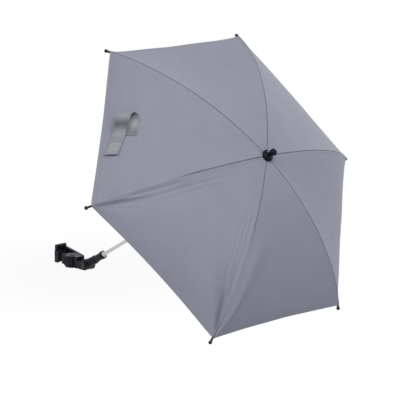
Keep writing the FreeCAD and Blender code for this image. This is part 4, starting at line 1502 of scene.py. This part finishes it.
@dataclass
class ClosureStrap:
    """Strap that ties the folded canopy: sewn end, loop, and free end with a patch.

    Lengths along the strap count from its sewn end.

    Attributes:
        shape: Surface of the cloth.
        pole: Frame of the pole.
        gore: Gore that it is sewn on.
        body: Body that it rides.
        width: Width of the webbing.
        thickness: Thickness of the webbing at its borders.
        total: Length of the strap.
        up: Distance of its seam from the hem.
        seam_turn: Angle on the cloth's arc from the corner to halfway up to the seam.
        slope: Cosine and sine of the cloth's slope at the strap.
        aside: Distance of its seam from the gore's middle.
        sewn: Length that is sewn down.
        rise: Length from there to the loop.
        lift: Angle at which that length leaves the cloth.
        lift_bend: Length in which it bends up.
        loop_radius: Radius of the loop.
        crest: Length from the loop to the dip.
        dip: Angle of the dip towards the cloth.
        dip_length: Length of the dip.
        dip_bends: Lengths before and past the dip's start in which the strap bends.
        foot_bends: Lengths before and past the dip's end in which it bends back.
        end_lift: Angle at which the free end curls up.
        end_bends: Distances from the end where that curl begins and ends.
        skew: Way up the gore by which the loop is skewed.
        slant: Way up the gore for each metre past the loop's top.
        clear: Gap under the strap.
        border: Width of the folded borders.
        border_step: Width of the step beside a border.
        core: Share of the thickness between the borders.
        sunk: Share of the thickness that the stitch line is sunk.
        edge_thinning: Share of the thickness lost at the very edge.
        edge_round: Width of the rounded edge.
        edge_columns: Distances from the edge of the columns of vertices on the border.
        inner_columns: Distances from the edge of those past the border's step.
        rings: Rings of vertices along the strap.
        path_steps: Steps in which its middle line is summed up.
        hook_span: Distances of the hook patch's ends from the stitching's end.
        loop_span: Lengths at the ends of the loop patch.
        patch_inset: Distance of the stitching from the strap's end.
        hook_rings: Rings of vertices along the hook patch.
        loop_rings: Rings of vertices along the loop patch.
        patch_columns: Columns of vertices across a patch.
        patch_sunk: Share of the strap's thickness at which a patch begins.
        tape_thickness: Thickness of a patch.
        thread: Radius of the thread.
        stitch: Length of a stitch with its gap.
        stitch_share: Share of that length that the stitch fills.
        stitch_places: Stations of a stitch, as shares of its length from its middle.
        stitch_girths: Share of the thread's radius at each.
        thread_sides: Sides of the thread's section.
        thread_flat: Height of the thread's section as a share of its width.
        across_level: Level of stitches across the strap, as a share of its thickness.
        along_level: Level of stitches along the borders, as a share of its thickness.
        foot_rows: Lengths of the rows of stitches across the sewn end.
        end_rows: Distances from the end of the rows across the free end.
        row_start: Length at which the rows along the borders begin.
        pressed: Share of its height that is left when the canopy is folded; not used.
        loop_shade: Share of the painted shade inside the loop's top.
        dip_shade: Share of the painted shade on the dip.
        foot_shade: Share of the painted shade at the loop's foot.
        shade_length: Half the length of each place of painted shade.
        shade_places: Shares of the loop, the sewn length and the dip where the painted shade lies.
    """

    shape: CanopyShape
    pole: PoleFrame
    gore: int = 3
    body: str = "panel_5_left"
    width: float = 0.026
    thickness: float = 0.0014
    total: float = 0.149
    up: float = 0.059
    seam_turn: float = 0.08
    slope: Pair = (0.80, 0.60)
    aside: float = 0.006
    sewn: float = 0.014
    rise: float = 0.021
    lift: float = math.radians(4.0)
    lift_bend: float = 0.008
    loop_radius: float = 0.0095
    crest: float = 0.013
    dip: float = math.radians(50.0)
    dip_length: float = 0.0172
    dip_bends: Pair = (0.006, 0.008)
    foot_bends: Pair = (0.006, 0.010)
    end_lift: float = math.radians(12.0)
    end_bends: Pair = (0.022, 0.006)
    skew: float = 0.0115
    slant: float = 0.215
    clear: float = 0.0004
    border: float = 0.0042
    border_step: float = 0.0004
    core: float = 0.74
    sunk: float = 0.22
    edge_thinning: float = 0.45
    edge_round: float = 0.0007
    edge_columns: Numbers = (0.0, 0.0003, 0.0008, 0.0020)
    inner_columns: Numbers = (0.0075, 0.0105)
    rings: int = 141
    path_steps: int = 1200
    hook_span: Pair = (0.025, 0.004)
    loop_span: Pair = (0.017, 0.034)
    patch_inset: float = 0.002
    hook_rings: int = 15
    loop_rings: int = 13
    patch_columns: int = 9
    patch_sunk: float = 0.30
    tape_thickness: float = 0.0005
    thread: float = 0.00042
    stitch: float = 0.0031
    stitch_share: float = 0.72
    stitch_places: Numbers = (-0.5, -0.36, 0.0, 0.36, 0.5)
    stitch_girths: Numbers = (0.25, 1.0, 1.0, 1.0, 0.25)
    thread_sides: int = 6
    thread_flat: float = 0.7
    across_level: float = 0.37
    along_level: float = 0.29
    foot_rows: Numbers = (0.0016, 0.0070)
    end_rows: Numbers = (0.0300, 0.0365)
    row_start: float = 0.001
    pressed: float = 0.2
    loop_shade: float = 0.95
    dip_shade: float = 0.95
    foot_shade: float = 0.5
    shade_length: float = 0.0085
    shade_places: Triple = (0.4, 0.5, 0.2)

    @property
    def loop(self) -> float:
        """Length of the strap in its loop."""
        return self.loop_radius * math.pi

    @property
    def loop_start(self) -> float:
        """Length at which the loop begins."""
        return self.sewn + self.rise

    @property
    def dip_start(self) -> float:
        """Length at which the dip begins."""
        return self.loop_start + self.loop + self.crest

    @property
    def stitch_line(self) -> float:
        """Distance of the border's stitches from the strap's middle."""
        return self.width / 2.0 - self.border

    def seam_arc(self) -> float:
        """Place of the strap's seam.

        Returns:
            Length from the crown to the seam.
        """
        turn = self.shape.length / self.shape.radius - self.seam_turn
        slope = math.hypot(math.cos(self.shape.gore / 2.0) * math.cos(turn), math.sin(turn))
        return self.shape.length - self.up / slope

    def seam_place(self) -> tuple[Array, Array]:
        """Point of the cloth at the strap's seam and its outward direction, in the pole frame."""
        arc, middle = np.full(1, self.seam_arc()), np.zeros(1)
        return self.shape.place(self.gore, arc, middle)[0], self.shape.normals(self.gore, arc, middle)[0]

    def angle_at(self, length: Array) -> Array:
        """Angle of the strap to the cloth at lengths along it.

        Args:
            length: Lengths along the strap.

        Returns:
            Angles, growing as the strap rises and turns over.
        """
        start, dip = self.loop_start, self.dip_start
        foot = dip + self.dip_length
        angle = self.lift * smooth(length, self.sewn, self.sewn + self.lift_bend)
        angle = angle + (math.pi - self.lift) * smooth(length, start, start + self.loop)
        angle = angle + self.dip * smooth(length, dip - self.dip_bends[0], dip + self.dip_bends[1])
        angle = angle - self.dip * smooth(length, foot - self.foot_bends[0], foot + self.foot_bends[1])
        curl = smooth(length, self.total - self.end_bends[0], self.total - self.end_bends[1])
        return angle - self.end_lift * curl

    def path(self, length: Array) -> tuple[Array, ...]:
        """Centre line of the strap.

        Args:
            length: Lengths along it.

        Returns:
            Way along the hem, height over the cloth, way up the gore, and angle to the cloth.
        """
        fine = np.linspace(0.0, self.total, self.path_steps + 1)
        angle = self.angle_at(fine)
        step = fine[1] - fine[0]
        along = np.concatenate([[0.0], np.cumsum(np.cos(angle[:-1]) * step)]) - self.sewn
        height = np.concatenate([[0.0], np.cumsum(np.sin(angle[:-1]) * step)])
        height = height + self.clear + self.thickness / 2.0
        start = self.loop_start
        upward = -self.skew * smooth(fine, start, start + self.loop)
        upward = upward - self.slant * np.maximum(fine - start - 0.5 * self.loop, 0.0)
        return tuple(np.interp(length, fine, values) for values in (along, height, upward, angle))

    def surface(self, length: Array, offset: Array, level: Array) -> Array:
        """Points on the strap or near it.

        Args:
            length: Length along the strap of each point.
            offset: Way across the strap from its middle.
            level: Height over the strap's middle layer, towards the loop's inside.

        Returns:
            Points in the row frame.
        """
        along, height, upward, angle = self.path(length)
        cosine, sine = self.slope
        turn_step = 1.0 / math.hypot(math.cos(self.shape.gore / 2.0) * cosine, sine)
        arcs = self.seam_arc() - (upward + offset) * turn_step
        shares = np.clip((self.aside - along) / self.shape.half_width(arcs), -1.0, 1.0)
        base = self.shape.place(self.gore, arcs, shares)
        normal = self.seam_place()[1]
        middle = (self.shape.rib_angle(self.gore) + self.shape.rib_angle(self.gore + 1)) / 2.0
        way = -np.array([-math.sin(middle), math.cos(middle), 0.0])
        out = np.cos(angle)[..., None] * normal - np.sin(angle)[..., None] * way
        return self.pole.points(base + height[..., None] * normal + level[..., None] * out)

    def swell(self, offset: Array) -> Array:
        """Share of the full thickness across the strap, thicker at its folded borders.

        Args:
            offset: Ways across the strap from its middle.

        Returns:
            Shares of the thickness.
        """
        inside = self.width / 2.0 - np.abs(offset)
        folded = 1.0 - smooth(inside, self.border - self.border_step, self.border + self.border_step)
        share = self.core + (1.0 - self.core) * folded
        share = share - self.sunk * bell(inside - self.border, self.border_step)
        return share * (1.0 - self.edge_thinning * (1.0 - smooth(inside, 0.0, self.edge_round)))

    def dimness(self, length: Array, level: Array) -> Array:
        """Share of the painted shade on the strap: in the loop's top, at its foot and where the free end
        dips.

        Args:
            length: Length along the strap of each point.
            level: Height over the strap's middle layer, towards the loop's inside.

        Returns:
            Shares from 0 to 1.
        """
        in_loop, in_foot, in_dip = self.shade_places
        loop_top = self.loop_start + in_loop * self.loop
        loop_foot = in_foot * self.sewn
        dip = self.dip_start + in_dip * self.dip_length
        hollow = self.loop_shade * bell(length - loop_top, self.shade_length)
        hollow = hollow + self.foot_shade * bell(length - loop_foot, self.shade_length)
        return np.where(level > 0.0, hollow, self.dip_shade * bell(length - dip, self.shade_length))

    def band(self, name: str, lengths: Array, offsets: Array, low: Array, high: Array) -> Piece:
        """Closed ribbon that follows the strap.

        Args:
            name: Name of the piece.
            lengths: Lengths along the strap of each ring.
            offsets: Ways across the strap of each column.
            low: Level of its first face at each column.
            high: Level of its second face at each column.

        Returns:
            The new piece.
        """
        across = np.concatenate([offsets, offsets[::-1]])
        along, over = np.meshgrid(lengths, across, indexing="ij")
        level = np.broadcast_to(np.concatenate([high, low[::-1]]), along.shape)
        rings = self.surface(along, over, level)
        piece = MeshKit.piece(name, rings.reshape(-1, 3), MeshKit.loft(rings), sharp_deg=50.0)
        # The third number is the share of painted shade at each place along the strap.
        place = np.stack([over, along, self.dimness(along, level)], -1)
        MeshKit.vector_field(piece, "cloth_at", place.reshape(-1, 3))
        return piece

    def columns(self) -> Array:
        """Columns of vertices, closer at the edges and beside the borders.

        Returns:
            Ways across the strap from its middle.
        """
        half = self.width / 2.0
        beside = self.border + self.border_step * np.arange(-2.0, 3.0)
        inside = np.concatenate([self.edge_columns, beside, self.inner_columns])
        return np.concatenate([inside - half, [0.0], (half - inside)[::-1]])

    def stitched(self, across: Sequence[Pair], along: Sequence[float], last: float) -> Shell:
        """Rows of stitches across and along the strap.

        Args:
            across: Length along the strap and face, 1 or -1, of each row across it.
            along: Way across the strap of each row along it, sewn through both faces.
            last: Length at which the rows along it end.

        Returns:
            Points and faces.
        """
        turns = full_turn(self.thread_sides)
        ends = np.array(self.stitch_places) * self.stitch_share * self.stitch
        girth = np.array(self.stitch_girths)[:, None] * self.thread
        wide, high = girth * np.cos(turns), self.thread_flat * girth * np.sin(turns)
        half = self.stitch_line
        stitches = []
        for length, face in across:
            for middle in np.arange(-half + 0.5 * self.stitch, half, self.stitch):
                offsets = np.repeat((middle + ends)[:, None], self.thread_sides, 1)
                level = face * (self.thickness * self.across_level + high)
                stitches.append(self.surface(length + wide, offsets, level))
        for offset in along:
            for middle in np.arange(self.row_start + 0.5 * self.stitch, last, self.stitch):
                lengths = np.repeat((middle + ends)[:, None], self.thread_sides, 1)
                for face in (1.0, -1.0):
                    level = face * (self.thickness * self.along_level - high)
                    stitches.append(self.surface(lengths, offset + wide, level))
        return MeshKit.joined((rings.reshape(-1, 3), MeshKit.loft(rings)) for rings in stitches)

    def press(self, piece: Piece) -> None:
        """Give a piece of the strap its own copy of its mesh.

        Args:
            piece: Piece of the strap.
        """
        place, normal = self.seam_place()
        foot, outward = self.pole.points(place), self.pole.directions(normal)
        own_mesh(piece)

    def build(self, dresser: Dresser) -> None:
        """Make and dress the strap, its patches and its stitches.

        Args:
            dresser: Gives the finishes.
        """
        offsets = self.columns()
        level = self.thickness / 2.0 * self.swell(offsets)
        lengths = np.linspace(0.0, self.total, self.rings)
        strap = dresser.dress(self.band("strap", lengths, offsets, -level, level), Slot.WEBBING)
        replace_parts(strap, "closure_strap")
        end = self.total - self.patch_inset
        narrow = np.linspace(-1.0, 1.0, self.patch_columns) * self.stitch_line
        inner = np.full(self.patch_columns, self.patch_sunk * self.thickness)
        outer = inner + self.tape_thickness
        hook_lengths = np.linspace(end - self.hook_span[0], end - self.hook_span[1], self.hook_rings)
        hooks = self.band("hook_patch", hook_lengths, narrow, -outer, -inner)
        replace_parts(dresser.dress(hooks, Slot.PATCH), "strap_patch")
        loop_lengths = np.linspace(*self.loop_span, self.loop_rings)
        loops = self.band("loop_patch", loop_lengths, narrow, inner, outer)
        dresser.dress(loops, Slot.PATCH)
        rows = [(length, 1.0) for length in self.foot_rows]
        rows += [(self.total - gap, -1.0) for gap in self.end_rows]
        points, faces = self.stitched(rows, (-self.stitch_line, self.stitch_line), end)
        threads = MeshKit.piece("strap_stitches", points, faces, sharp_deg=60.0)
        MeshKit.vector_field(threads, "cloth_at", np.column_stack([points[:, :2], np.ones(len(points))]))
        dresser.dress(threads, Slot.WEBBING)
        for piece in (strap, hooks, loops, threads):
            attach(piece, self.body)
            self.press(piece)


@dataclass
class RibTips:
    """Black balls on the ends of the ribs, and the thread that ties the cloth to the ribs.

    Attributes:
        shape: Surface of the cloth, with the ribs' arc.
        pole: Frame of the pole.
        ball: Radius of the ball.
        stem: Radius of the stem.
        stem_length: Length of the stem to the ball's middle.
        foot_edge: Width and length of the bevel at the stem's foot.
        ring_at: Level of the ring on the stem.
        ring: Level from the ring's middle and swell of each of its stations.
        ball_steps: Steps from the ring to the ball's end.
        segments: Steps around a tip.
        thread: Radius of the thread.
        ties: Lengths from the crown of the ties.
        tie_steps: Steps around a turn of thread.
        tie_turns: Turns of thread in each tie.
        tie_pitch: Distance between the turns.
        tie_width: Half width of a turn across the rib.
        tie_height: Half height of a turn.
        tip_tie: Distance from the tip and half height of the tie at the corner.
    """

    shape: CanopyShape
    pole: PoleFrame
    ball: float = 0.0038
    stem: float = 0.0021
    stem_length: float = 0.015
    foot_edge: Pair = (0.0003, 0.0004)
    ring_at: float = -0.0054
    ring: tuple[Pair, ...] = (
        (-0.0010, 0.0), (-0.0006, 0.0005), (0.0, 0.0006), (0.0006, 0.0005), (0.0010, -0.0001)
    )
    ball_steps: int = 12
    segments: int = 28
    thread: float = 0.00028
    ties: Numbers = (0.075, 0.140, 0.235, 0.305)
    tie_steps: int = 20
    tie_turns: int = 3
    tie_pitch: float = 0.0008
    tie_width: float = 0.0021
    tie_height: float = 0.0018
    tip_tie: Pair = (0.0112, 0.0025)

    def profile(self) -> list[Pair]:
        """Outline of a tip.

        Returns:
            Radius and level of its stations, from the stem's foot to the ball's end.
        """
        foot = -self.stem_length
        width, length = self.foot_edge
        stations = [(0.0, foot), (self.stem - width, foot), (self.stem, foot + length)]
        stations += [(self.stem + swell, self.ring_at + level) for level, swell in self.ring]
        start = -math.acos(stations[-1][0] / self.ball)
        for step in range(self.ball_steps):
            angle = start + (math.pi / 2.0 - start) * step / self.ball_steps
            stations.append((self.ball * math.cos(angle), self.ball * math.sin(angle)))
        return stations + [(0.0, self.ball)]

    def on_rib(self, rib: int, arc: float) -> tuple[Array, Array, Array]:
        """Place on a rib's middle line, with directions sideways and outwards.

        Args:
            rib: Rib's number from 0.
            arc: Length from the crown along the rib.

        Returns:
            Point, way sideways and way outwards, in the pole frame.
        """
        angle, turn = self.shape.rib_angle(rib), arc / self.shape.rib_radius
        around = np.array([math.cos(angle), math.sin(angle), 0.0])
        up = np.array([0.0, 0.0, 1.0])
        outward = math.sin(turn) * around + math.cos(turn) * up
        point = self.shape.rib_radius * outward + self.shape.level * up
        return point, np.cross(up, around), outward

    def tip(self, rib: int) -> Piece:
        """Build the stem and ball of a rib.

        Args:
            rib: Rib's number from 0.

        Returns:
            The new piece.
        """
        full = self.shape.rib_length
        foot = self.on_rib(rib, full - self.stem_length)[0]
        point, side, _ = self.on_rib(rib, full)
        ahead = (point - foot) / np.linalg.norm(point - foot)
        outward = np.cross(ahead, side)
        local, faces = MeshKit.lathe(self.profile(), self.segments)
        points = self.pole.points(point + local @ np.stack([outward, -side, ahead]))
        return MeshKit.piece(f"tip_{rib + 1}", points, faces, sharp_deg=40.0)

    def tie(self, rib: int) -> Piece:
        """Build the thread loops that hold the cloth to a rib.

        Args:
            rib: Rib's number from 0.

        Returns:
            The new piece.
        """
        around = full_turn(self.tie_steps)
        tip_back, tip_height = self.tip_tie
        starts = [(arc, self.tie_height) for arc in self.ties]
        starts += [(self.shape.rib_length - tip_back, tip_height)]
        loops = []
        for start, height in starts:
            for step in range(self.tie_turns):
                point, side, outward = self.on_rib(rib, start + self.tie_pitch * step)
                sideways = self.tie_width * np.cos(around)[:, None] * side
                path = point + sideways + height * np.sin(around)[:, None] * outward
                loops.append(MeshKit.hoop(self.pole.points(path), self.thread))
        points, faces = MeshKit.joined(loops)
        return MeshKit.piece(f"tie_{rib + 1}", points, faces, sharp_deg=60.0)

    def build(self, dresser: Dresser) -> None:
        """Make and dress the tips and ties of every rib.

        Args:
            dresser: Gives the finishes.
        """
        for rib in range(self.shape.ribs):
            tip = dresser.dress(self.tip(rib), Slot.TIP)
            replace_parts(tip, f"rib_tip_{rib + 1}")
            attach(tip, f"rib_{rib + 1}")
            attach(dresser.dress(self.tie(rib), Slot.RUNNER), f"rib_{rib + 1}")


@dataclass
class Finial:
    """Turned knob on the crown: domed base, neck and ball.

    Attributes:
        pole: Frame of the pole.
        foot: Level of its foot over the tilt pivot.
        base_radius: Radius of the base.
        base_height: Height of the base.
        edge: Width and height of the rounding at the foot.
        lip: Step from the base's wall to its dome.
        wall: Level of the wall's upper end.
        skirt: Level at which the dome begins.
        neck: Radius of the neck at its ends.
        waist: How much thinner the neck is in its middle.
        ball: Radius of the ball.
        ball_up: Level of the ball's middle over the foot.
        dome_steps: Steps over the dome.
        neck_steps: Steps along the neck.
        ball_steps: Steps over the ball.
        segments: Steps around the finial.
    """

    pole: PoleFrame
    foot: float = 0.64831
    base_radius: float = 0.0118
    base_height: float = 0.010
    edge: float = 0.0009
    lip: float = 0.0003
    wall: float = 0.0024
    skirt: float = 0.0028
    neck: float = 0.0046
    waist: float = 0.0004
    ball: float = 0.0072
    ball_up: float = 0.0195
    dome_steps: int = 12
    neck_steps: int = 6
    ball_steps: int = 18
    segments: int = 64

    def profile(self) -> list[Pair]:
        """Outline of the finial.

        Returns:
            Radius and level of its stations, from its foot to its top.
        """
        rim, shoulder = self.base_radius, self.base_radius - self.lip
        stations = [(0.0, 0.0), (rim - self.edge, 0.0), (shoulder, self.lip)]
        stations += [(rim, self.edge), (rim, self.wall)]
        for step in range(self.dome_steps + 1):
            angle = math.pi / 2.0 * step / self.dome_steps
            reach = shoulder - (shoulder - self.neck) * math.sin(angle)
            stations.append((reach, self.base_height - (self.base_height - self.skirt) * math.cos(angle)))
        start = -math.acos(self.neck / self.ball)
        low = self.ball_up + self.ball * math.sin(start)
        for step in range(1, self.neck_steps):
            share = step / self.neck_steps
            radius = self.neck - self.waist * math.sin(math.pi * share)
            stations.append((radius, self.base_height + (low - self.base_height) * share))
        for step in range(self.ball_steps):
            angle = start + (math.pi / 2.0 - start) * step / self.ball_steps
            stations.append((self.ball * math.cos(angle), self.ball_up + self.ball * math.sin(angle)))
        stations.append((0.0, self.ball_up + self.ball))
        return [(radius, self.foot + level) for radius, level in stations]

    def build(self, dresser: Dresser) -> None:
        """Make and dress the finial.

        Args:
            dresser: Gives the finishes.
        """
        local, faces = MeshKit.lathe(self.profile(), self.segments)
        piece = MeshKit.piece("finial_turned", self.pole.points(local), faces, sharp_deg=40.0)
        dresser.dress(piece, Slot.FINIAL)
        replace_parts(piece, "finial")
        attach(piece, "pole")


@dataclass
class JawPads:
    """Rubber pads in the clamp's jaws, ribbed across the tube.

    Attributes:
        tube: Radius of the clamped tube.
        back: Radius of the pads' backs.
        half_angle: Half the angle that a pad spans.
        half_height: Half the height of a pad.
        ribs: Ribs on a pad.
        groove: Depth of the grooves between ribs.
        flank: Depth at which a rib's rounding begins.
        rounding: Shares of a rib's pitch where its rounding begins and ends.
        steps: Rings of vertices around the tube.
    """

    tube: float = 0.011
    back: float = 0.013
    half_angle: float = math.radians(55.0)
    half_height: float = 0.0115
    ribs: int = 7
    groove: float = 0.0008
    flank: float = 0.0002
    rounding: Pair = (0.14, 0.26)
    steps: int = 25

    def section(self) -> Array:
        """Outline of a pad, with its ribs towards the tube.

        Returns:
            Radius and level of each corner.
        """
        pitch = 2.0 * self.half_height / self.ribs
        deep, flank = self.tube + self.groove, self.tube + self.flank
        first, last = self.rounding
        stations = [(deep, 0.0), (flank, first), (self.tube, last)]
        stations += [(self.tube, 1.0 - last), (flank, 1.0 - first)]
        outline = [(self.back, -self.half_height)]
        for rib in range(self.ribs):
            low = -self.half_height + rib * pitch
            outline += [(radius, low + share * pitch) for radius, share in stations]
        outline += [(deep, self.half_height), (self.back, self.half_height)]
        return np.array(outline)

    def pad(self, name: str, heading: float) -> Piece:
        """Build one pad.

        Args:
            name: Name of the piece.
            heading: Angle around the tube of the pad's middle.

        Returns:
            The new piece.
        """
        radii, levels = self.section().T
        turns = heading + np.linspace(-self.half_angle, self.half_angle, self.steps)[:, None]
        flat = np.broadcast_to(levels, (self.steps, len(levels)))
        rings = np.stack([np.cos(turns) * radii, np.sin(turns) * radii, flat], -1)
        faces = [face[::-1] for face in MeshKit.loft(rings)]
        return MeshKit.piece(name, rings.reshape(-1, 3), faces, sharp_deg=35.0)

    def build(self, dresser: Dresser) -> None:
        """Make and dress both pads.

        Args:
            dresser: Gives the finishes.
        """
        for node, body, heading in (("fixed_jaw_pad", "clamp", math.pi), ("sliding_jaw_pad", "jaw", 0.0)):
            piece = dresser.dress(self.pad(f"{node}_ribbed", heading), Slot.PAD)
            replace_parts(piece, node)
            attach(piece, body)


@dataclass
class Fittings:
    """Pieces of the frame, pole and clamp that keep their own solids.

    Attributes:
        nodes: Objects of the frame by the node's name.
        ribs: Count of the ribs.
    """

    nodes: dict[str, Piece]
    ribs: int

    def slots(self) -> dict[str, Slot]:
        """Material slot of each node.

        Returns:
            Slots by the node's name.
        """
        numbers = range(1, self.ribs + 1)
        linkage = [f"{kind}_{rib}" for rib in numbers for kind in ("rib", "rib_clip", "stretcher")]
        groups = (
            (Slot.ROD, ["rod"]),
            (Slot.RUNNER, ["top_notch", "runner"]),
            (Slot.FASTENER, ["notch_wire", "runner_wire", "runner_catch", "rod_stop", "tilt_nut"]),
            (Slot.FINIAL, ["finial_washer"]),
            (Slot.CLAMP, ["rod_socket", "clamp_frame", "sliding_jaw"]),
            (Slot.COLLAR, ["socket_collar"]),
            (Slot.BOLT, ["rod_rivet", "knob_axle", "tilt_bolt"]),
            (Slot.KNOB, ["clamp_knob"]),
            (Slot.FRAME, linkage),
        )
        return {node: slot for slot, nodes in groups for node in nodes}

    def build(self, dresser: Dresser) -> None:
        """Dress every kept node."""
        for name, slot in self.slots().items():
            dresser.dress(self.nodes[name], slot)


@dataclass(frozen=True)
class Lamp:
    """Square soft light that faces the parasol.

    Attributes:
        name: Name of the light.
        heading: Way from the parasol to the light.
        power: Power in watts.
        distance: Distance of the light.
        size: Side of the light.
        colour: Colour of the light.
    """

    name: str
    heading: Triple
    power: float
    distance: float = 2.6
    size: float = 1.5
    colour: Colour = (1.0, 0.995, 0.935)

    def build(self, centre: Triple) -> None:
        """Add the light.

        Args:
            centre: Place that it faces.
        """
        data = bpy.data.lights.new(self.name, "AREA")
        data.shape = "SQUARE"
        data.size = self.size
        data.energy = self.power
        data.color = self.colour
        made = bpy.data.objects.new(self.name, data)
        bpy.context.scene.collection.objects.link(made)
        way = Vector(self.heading).normalized()
        made.location = Vector(centre) + way * self.distance
        made.rotation_mode = "QUATERNION"
        made.rotation_quaternion = (-way).to_track_quat("-Z", "Y")


@dataclass
class Studio:
    """Camera, lights, floor and surroundings.

    Attributes:
        eye: Place of the camera.
        aim: Place that it looks at.
        lens: Focal length in millimetres.
        sensor: Width of the sensor in millimetres.
        view_end: Distance at which the view ends.
        centre: Place that the lights face.
        lamps: The lights.
        ambient: Colour of the surroundings' own light.
        floor_level: Level of the floor.
        floor_radius: Radius of the floor.
        floor_sides: Sides of the floor.
        floor_colour: Colour of the floor.
        shadow_at: Place on the floor round which a shadow is kept.
        shadow_fade: Distances from there between which it fades out.
        shadow_white: Share of white in the floor where the shadow is kept.
    """

    eye: Triple = (3.1101, -2.3990, 1.0025)
    aim: Triple = (0.4967, -0.0407, 0.2182)
    lens: float = 163.2
    sensor: float = 36.0
    view_end: float = 60.0
    centre: Triple = (0.45, 0.0, 0.25)
    lamps: tuple[Lamp, ...] = (
        Lamp("key", (0.30, -0.75, 0.60), 26.0),
        Lamp("fill", (0.75, -0.10, 0.65), 28.0),
        Lamp("back", (-0.10, 0.90, 0.42), 36.0),
    )
    ambient: Colour = (0.152, 0.170, 0.258)
    floor_level: float = -0.0135
    floor_radius: float = 9.0
    floor_sides: int = 64
    floor_colour: Colour = (0.60, 0.61, 0.64)
    shadow_at: Pair = (0.1, 0.0)
    shadow_fade: Pair = (0.10, 0.45)
    shadow_white: float = 0.93

    def camera(self) -> None:
        """Place the camera where the photograph was taken."""
        data = bpy.data.cameras.new("view")
        data.lens = self.lens
        data.sensor_width = self.sensor
        data.clip_end = self.view_end
        made = bpy.data.objects.new("view", data)
        bpy.context.scene.collection.objects.link(made)
        made.location = self.eye
        made.rotation_mode = "QUATERNION"
        made.rotation_quaternion = (Vector(self.aim) - Vector(self.eye)).to_track_quat("-Z", "Y")
        bpy.context.scene.camera = made

    def surroundings(self) -> None:
        """White surroundings that light the parasol evenly."""
        world = bpy.data.worlds.new("studio")
        bpy.context.scene.world = world
        world.use_nodes = True
        bench = Bench(world.node_tree)
        sky = world.node_tree.nodes["Background"]
        bench.feed(sky.inputs["Color"], bench.blend(bench.in_view(), (*self.ambient, 1.0), WHITE))

    def floor_material(self) -> Material:
        """Pale floor that keeps a soft shadow near the clamp and fades to white.

        Returns:
            The new material.
        """
        made = bpy.data.materials.new("floor")
        made.use_nodes = True
        bench = Bench(made.node_tree)
        shader = made.node_tree.nodes["Principled BSDF"]
        shader.inputs["Base Color"].default_value = (*self.floor_colour, 1.0)
        shader.inputs["Roughness"].default_value = 0.9
        shader.inputs["Specular IOR Level"].default_value = 0.1
        glow = bench.node("ShaderNodeEmission")
        glow.inputs["Color"].default_value = WHITE
        spot = bench.node("ShaderNodeNewGeometry")
        away = bench.node("ShaderNodeVectorMath", operation="DISTANCE")
        bench.feed(away.inputs[0], spot.outputs["Position"])
        away.inputs[1].default_value = (*self.shadow_at, self.floor_level)
        white = bench.ease(away.outputs["Value"], *self.shadow_fade, self.shadow_white, 1.0)
        mixer = bench.node("ShaderNodeMixShader")
        bench.feed(mixer.inputs[0], bench.math("MULTIPLY", bench.in_view(), white))
        bench.feed(mixer.inputs[1], shader.outputs[0])
        bench.feed(mixer.inputs[2], glow.outputs[0])
        bench.feed(made.node_tree.nodes["Material Output"].inputs["Surface"], mixer.outputs[0])
        return made

    def floor(self) -> None:
        """Lay the floor."""
        turns = full_turn(self.floor_sides)
        x = self.centre[0] + self.floor_radius * np.cos(turns)
        y = self.floor_radius * np.sin(turns)
        points = np.stack([x, y, np.full(self.floor_sides, self.floor_level)], 1)
        plane = MeshKit.piece("floor", points, [range(self.floor_sides)])
        plane.data.materials.append(self.floor_material())

    def build(self) -> None:
        """Set up the view."""
        self.camera()
        for lamp in self.lamps:
            lamp.build(self.centre)
        self.surroundings()
        self.floor()
        bpy.context.scene.view_settings.view_transform = "Standard"


def main() -> None:
    """Build the parasol and its surroundings."""
    logging.basicConfig(level=logging.INFO, format="%(name)s %(message)s")
    pole = PoleFrame.from_joints(frame["joints"])
    shape = CanopyShape()
    dresser = Dresser(PALETTE)
    for part in (
        Canopy(shape, pole),
        ClosureStrap(shape, pole),
        RibTips(shape, pole),
        Finial(pole),
        JawPads(),
        Fittings(frame["nodes"], shape.ribs),
    ):
        part.build(dresser)
    Studio().build()


if __name__ == "__main__":
    main()
